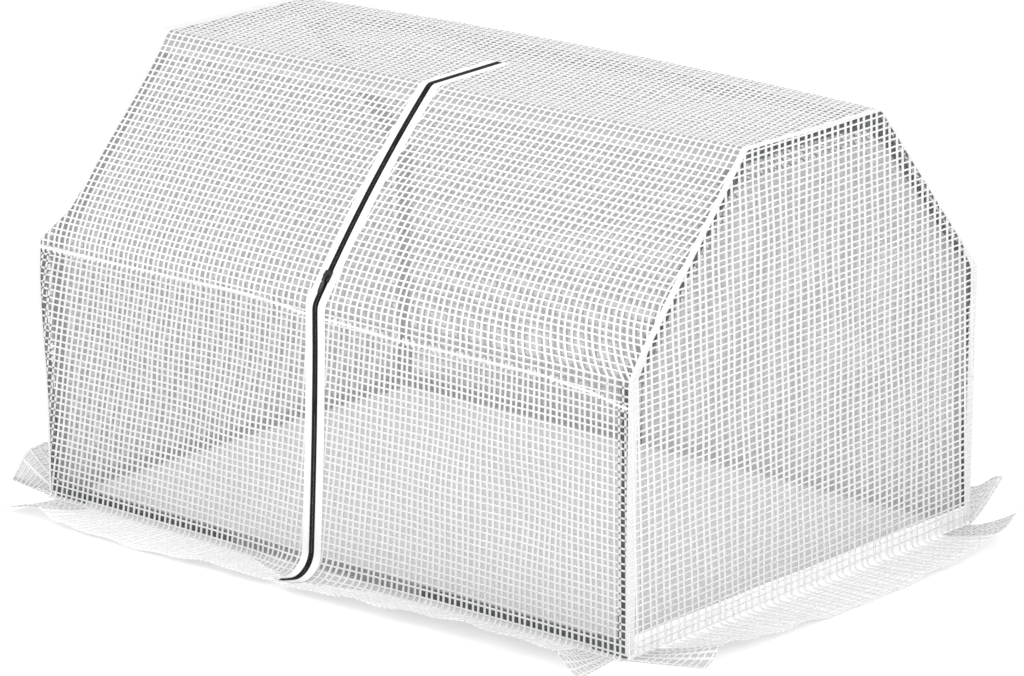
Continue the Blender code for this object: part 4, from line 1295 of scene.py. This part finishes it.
def front_rows(sizes, x):
    """Distances below the front knee for the rows of the front film at one place along the tunnel."""
    level = [s - FRONT_KNEE for s in length_places(sizes)]
    wall, crease, hem = float(wall_fall(x)), float(crease_fall(x)), float(hem_fall(x))
    return np.array([FRONT_START, *(f for f in level if FRONT_LEVEL_ROWS[0] < f < FRONT_LEVEL_ROWS[1]),
                     *np.linspace(FRONT_EVEN_START, wall, EVEN_ROWS),
                     *np.linspace(wall, crease, TURN_ROWS)[1:],
                     *np.linspace(crease, hem, SKIRT_ROWS + 1)[1:]])


def seam_mesh(columns, tape_x, sizes):
    """The folded film of the knee seam, sagging from the knee towards the right hoop."""
    places = sorted([tape_x] + [c for c in columns if abs(c - ZIP_X) > TAPE_EDGE + TAPE_ROOM])
    x, share = np.meshgrid(places, SEAM_SHARES)
    s = FRONT_KNEE + seam_fall(x) + sizes.seam_width * share
    out = facing(cover, x, s)
    return sheet_mesh(cover(x, s) + out * SEAM_STAND, out, SEAM_THICKNESS)


class GREENHOUSE_OT_front_sheets(bpy.types.Operator):
    """Make the two halves of the front wall, which fold out with their skirts"""

    bl_idname = "greenhouse.front_sheets"
    bl_label = "Front halves"

    def execute(self, context):
        for side in SIGNS:
            self.build(context, side)
        return {"FINISHED"}

    def build(self, context, side):
        sizes, paint = context.scene.greenhouse_sizes, finishes(context)
        sign = SIGNS[side]
        slot_x = ZIP_X + sign * SLOT
        low, high = sorted((slot_x, sign * HALF_LENGTH))
        columns = film_columns(sizes, low, high, [sign * FOOT_X])
        u = np.stack([front_rows(sizes, place) for place in columns], axis=1)
        x = np.broadcast_to(columns, u.shape)
        out = facing(cover, x, FRONT_KNEE + u)
        points = cover(x, FRONT_KNEE + u) - out * FRONT_INSET
        skirt_row = u.shape[0] - 1 - SKIRT_ROWS

        def from_middle(c):
            return abs((columns[c] + columns[c + 1]) / 2)

        def keep(r, c):
            return r < skirt_row or from_middle(c) <= FOOT_X

        def kind(r, c):
            height = (points[r, c, 2] + points[r + 1, c, 2]) / 2
            if r >= skirt_row:
                # Skirt cells away from the fans get the skirt film, whose near-white tone is painted light
                return 2 if from_middle(c) < FOOT_X - FAN else 0
            on_rail = RAIL_COVER_Z[0] < height < RAIL_COVER_Z[1] and from_middle(c) > RAIL_COVER_X
            return int(from_middle(c) > HOOP_X - LEG_COVER_X or on_rail)

        mesh = sheet_mesh(points, out, sizes.film_thickness, kind, keep)
        sheet = new_piece("front_sheet_" + side, mesh, paint["film"], paint["clinging"], paint["skirt"])

        def fallen(x, fall):
            return cover(x, FRONT_KNEE + fall)

        sink = FRONT_INSET + sizes.film_thickness / 2
        upright, level = [], []
        for start in girth_places(sizes, FRONT_THREADS):
            falls = front_rows(sizes, start)
            falls = falls if abs(start) <= FOOT_X else falls[:-SKIRT_ROWS]
            along = start + (WALL_LEAN - WALL_TWIST * start) * np.clip(KNEE_Z - falls, 0, None)
            room = np.minimum.reduce([THREAD_EDGE - np.abs(along), sign * (along - ZIP_X) - TAPE_EDGE,
                                      falls - seam_fall(along) + SEAM_LAP])
            upright += lines_on(fallen, along, falls, room, sink)
        tape_x = ZIP_X + sign * TAPE_EDGE
        across = np.array(sorted([tape_x, *[c for c in columns if sign * (c - tape_x) > TAPE_ROOM]], key=abs))
        for place in length_places(sizes):
            fall = place - FRONT_KNEE
            if fall < FRONT_START + LEVEL_ROOM:
                continue
            span = across[fall < hem_fall(across) - HEM_ROOM]
            if fall > crease_fall(FOOT_X) - LEVEL_ROOM:
                span = span[np.abs(span) <= FOOT_X + HAIR]
            elif fall < COARSE_FALL:
                span = thinned(span)
            room = fall - seam_fall(span) + SEAM_LAP
            level += lines_on(cover, span, np.full(len(span), place), room, sink)
        girth = weave("front_girth_threads_" + side, upright, sizes.girth_width, context)
        long = weave("front_length_threads_" + side, level, sizes.length_width, context)
        seam = new_piece("knee_seam_" + side, seam_mesh(columns, tape_x, sizes), paint["doubled"])
        for piece, slot in ((sheet, "film"), (girth, "film"), (long, "film"), (seam, "tape")):
            door_blend(piece, side)
        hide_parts("front_corner_" + side, "door_flap_" + side, "skirt_front_" + side)
        height = float(hem_fall(FOOT_X)) - FRONT_START


# Zip

def strip_on_cover(rows, inner, outer, thickness, across=1):
    """A closed strip down the cover between two distances from the zip's middle, just above the film."""
    away = np.concatenate([np.linspace(inner, outer, across + 1), np.linspace(outer, inner, across + 1)])
    height = np.repeat([GAP, GAP + thickness], across + 1)
    x, s = np.meshgrid(ZIP_X + away, rows)
    return swept_mesh(cover(x, s) + facing(cover, x, s) * height[:, None])


def teeth_mesh(sign, sizes, rows):
    """One point for each tooth of one side of the zip, with its outward and crosswise directions."""
    start = 0.0 if sign < 0 else sizes.tooth_pitch / 2
    places = np.arange(rows[0] + CROWD + start, rows[-1] - CROWD, sizes.tooth_pitch)
    x = np.full(len(places), ZIP_X + sign * TOOTH_AWAY)
    out = facing(cover, x, places)
    across = cover(x + FACING_STEP, places) - cover(x - FACING_STEP, places)
    return guide_mesh(cover(x, places) + out * (GAP + TOOTH_LIFT), [], out=out, across=across)


class GREENHOUSE_OT_zip(bpy.types.Operator):
    """Make the zip's two halves, their tapes and the patch over its roof end"""

    bl_idname = "greenhouse.zip"
    bl_label = "Zip"

    def execute(self, context):
        sizes, paint = context.scene.greenhouse_sizes, finishes(context)
        last = FRONT_KNEE + float(crease_fall(ZIP_X)) + ZIP_TAIL
        steps = list(np.arange(ZIP_ROOF_END, last, ZIP_STEP))
        rows = steps_between(steps, [ZIP_ROOF_END, last, *corner_steps(*CORNERS[3:])], ZIP_CROWD)
        for side, sign in SIGNS.items():
            cord = strip_on_cover(rows, sign * CORD_INNER, sign * CORD_EDGE, CORD_THICKNESS)
            cord = new_piece("zip_cord_" + side, cord, paint["cord"])
            tape = strip_on_cover(rows, sign * CORD_EDGE, sign * TAPE_EDGE, TAPE_THICKNESS, 3)
            tape = new_piece("zip_film_tape_" + side, tape, paint["doubled"])
            teeth = grow("zip_teeth_" + side, teeth_mesh(sign, sizes, rows), rung_tree(paint["coil"]),
                         {"Length": sizes.tooth_length, "Width": sizes.tooth_width}, paint["coil"])
            for piece, slot, nodes in ((cord, "zip", "zip_chain"), (tape, "tape", "zip_tape"),
                                       (teeth, "zip", "zip_chain")):
                door_blend(piece, side)
                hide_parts("%s_upper_%s" % (nodes, side), "%s_door_%s" % (nodes, side))
        patch = new_piece("zip_roof_patch", box_mesh(*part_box("zip_end_patch")), paint["doubled"])
        stand_for(soften(patch, PATCH_ROUND), "zip_end_patch")
        return {"FINISHED"}


def without_seams(work):
    """Join points that lie on each other and take out the edges within flat faces."""
    bmesh.ops.remove_doubles(work, verts=work.verts[:], dist=WELD)
    bmesh.ops.dissolve_limit(work, angle_limit=math.radians(1), verts=work.verts[:], edges=work.edges[:])


class GREENHOUSE_OT_slider(bpy.types.Operator):
    """Make the zip's slider and pull tab with rounded cast edges"""

    bl_idname = "greenhouse.slider"
    bl_label = "Slider and pull tab"

    def execute(self, context):
        paint = finishes(context)["slider"]
        for node, name, body in (("zip_slider", "cast_slider", "slider_body"),
                                 ("pull_tab", "cast_pull_tab", "tab_body")):
            mesh = worked(without_seams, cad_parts[node].data.copy())
            piece = soften(new_piece(name, mesh, paint), CAST_ROUND, 35)
            stand_for(piece, node, body)
        return {"FINISHED"}


# Stage

def backdrop_light(tree):
    """1 for rays from the camera and through or off a glossy surface, which see the backdrop's own white."""
    path = add_node(tree, "ShaderNodeLightPath").outputs
    either = add_node(tree, "ShaderNodeMath", {0: path["Is Camera Ray"], 1: path["Is Glossy Ray"]},
                      operation="MAXIMUM")
    return add_node(tree, "ShaderNodeMath", {0: either.outputs[0], 1: path["Is Transmission Ray"]},
                    operation="MAXIMUM").outputs[0]


def floor_shader(tree, colour):
    """Matt painted board: pale, half lit by itself for the camera, so that it is white but keeps a shadow."""
    matt = add_node(tree, "ShaderNodeBsdfDiffuse", {"Color": (*colour, 1.0)})
    half = add_node(tree, "ShaderNodeBsdfDiffuse", {"Color": (*scaled(colour, 0.45), 1.0)})
    glow = add_node(tree, "ShaderNodeEmission", {"Color": (1.0, 1.0, 1.0, 1.0), "Strength": 0.54})
    seen = add_node(tree, "ShaderNodeAddShader", {0: half.outputs[0], 1: glow.outputs[0]})
    return blend_of(tree, backdrop_light(tree), matt.outputs[0], seen.outputs[0])


def add_object(name, data):
    """An object of a lamp or a camera."""
    made = bpy.data.objects.new(name, data)
    bpy.context.scene.collection.objects.link(made)
    return made


class GREENHOUSE_OT_stage(bpy.types.Operator):
    """Make the floor, the lights and the camera"""

    bl_idname = "greenhouse.stage"
    bl_label = "Stage"

    def execute(self, context):
        scene = context.scene
        mesh = worked(lambda work: bmesh.ops.create_grid(
            work, x_segments=1, y_segments=1, size=FLOOR_SIZE, matrix=Matrix.Translation((0, 0, FLOOR_Z))))
        board = material("matt_painted_board", floor_shader, tuple(scene.greenhouse_colours.floor))
        new_piece("floor", mesh, board)

        world = bpy.data.worlds.new("studio")
        world.use_nodes = True
        tree = world.node_tree
        tree.nodes.clear()
        dim, white = (add_node(tree, "ShaderNodeBackground", {"Color": (1, 1, 1, 1), "Strength": strength})
                      for strength in (WORLD_STRENGTH, 1.0))
        both = blend_of(tree, backdrop_light(tree), dim.outputs[0], white.outputs[0])
        add_node(tree, "ShaderNodeOutputWorld", {"Surface": both})
        scene.world = world

        for name, place, power in LAMPS:
            light = bpy.data.lights.new(name, "AREA")
            light.shape = "SQUARE"
            light.size = LAMP_SIZE
            light.energy = power
            lamp = add_object(name, light)
            lamp.location = place
            lamp.rotation_euler = (Vector(LAMP_TARGET) - Vector(place)).to_track_quat("-Z", "Y").to_euler()

        camera = add_object("camera", bpy.data.cameras.new("camera"))
        azimuth, elevation, roll = (math.radians(a) for a in CAMERA_ANGLES)
        back = Vector((math.sin(azimuth) * math.cos(elevation), -math.cos(azimuth) * math.cos(elevation),
                       math.sin(elevation)))
        look = (-back).to_track_quat("-Z", "Y").to_matrix() @ Matrix.Rotation(roll, 3, "Z")
        camera.rotation_euler = look.to_euler()
        camera.location = CAMERA_PLACE
        camera.data.sensor_width = CAMERA_SENSOR
        camera.data.lens = CAMERA_LENS
        camera.data.clip_end = CAMERA_REACH
        scene.camera = camera
        scene.view_settings.view_transform = "Standard"
        return {"FINISHED"}


OPERATORS = (GREENHOUSE_OT_stage, GREENHOUSE_OT_tubes, GREENHOUSE_OT_connectors, GREENHOUSE_OT_tunnel_sheet,
             GREENHOUSE_OT_end_sheets, GREENHOUSE_OT_front_sheets, GREENHOUSE_OT_zip, GREENHOUSE_OT_slider)


class GREENHOUSE_PT_panel(bpy.types.Panel):
    """Sizes, colours and steps of the greenhouse"""

    bl_idname = "GREENHOUSE_PT_panel"
    bl_label = "Tomato greenhouse"
    bl_space_type = "VIEW_3D"
    bl_region_type = "UI"
    bl_category = "Greenhouse"

    def draw(self, context):
        layout = self.layout
        for group in (context.scene.greenhouse_sizes, context.scene.greenhouse_colours):
            for label in group.__annotations__:
                layout.prop(group, label)
        for operator in OPERATORS:
            layout.operator(operator.bl_idname)


CLASSES = (GreenhouseSizes, GreenhouseColours, *OPERATORS, GREENHOUSE_PT_panel)


def register():
    """Add the greenhouse's classes and its scene properties."""
    for item in CLASSES:
        bpy.utils.register_class(item)
    bpy.types.Scene.greenhouse_sizes = bpy.props.PointerProperty(type=GreenhouseSizes)
    bpy.types.Scene.greenhouse_colours = bpy.props.PointerProperty(type=GreenhouseColours)


def unregister():
    """Take the greenhouse's classes and scene properties away."""
    del bpy.types.Scene.greenhouse_colours
    del bpy.types.Scene.greenhouse_sizes
    for item in reversed(CLASSES):
        bpy.utils.unregister_class(item)


def main():
    """Build every piece."""
    register()
    bpy.ops.greenhouse.stage()
    bpy.ops.greenhouse.tubes()
    bpy.ops.greenhouse.connectors()
    bpy.ops.greenhouse.tunnel_sheet()
    bpy.ops.greenhouse.end_sheets()
    bpy.ops.greenhouse.front_sheets()
    bpy.ops.greenhouse.zip()
    bpy.ops.greenhouse.slider()


if __name__ == "__main__":
    main()
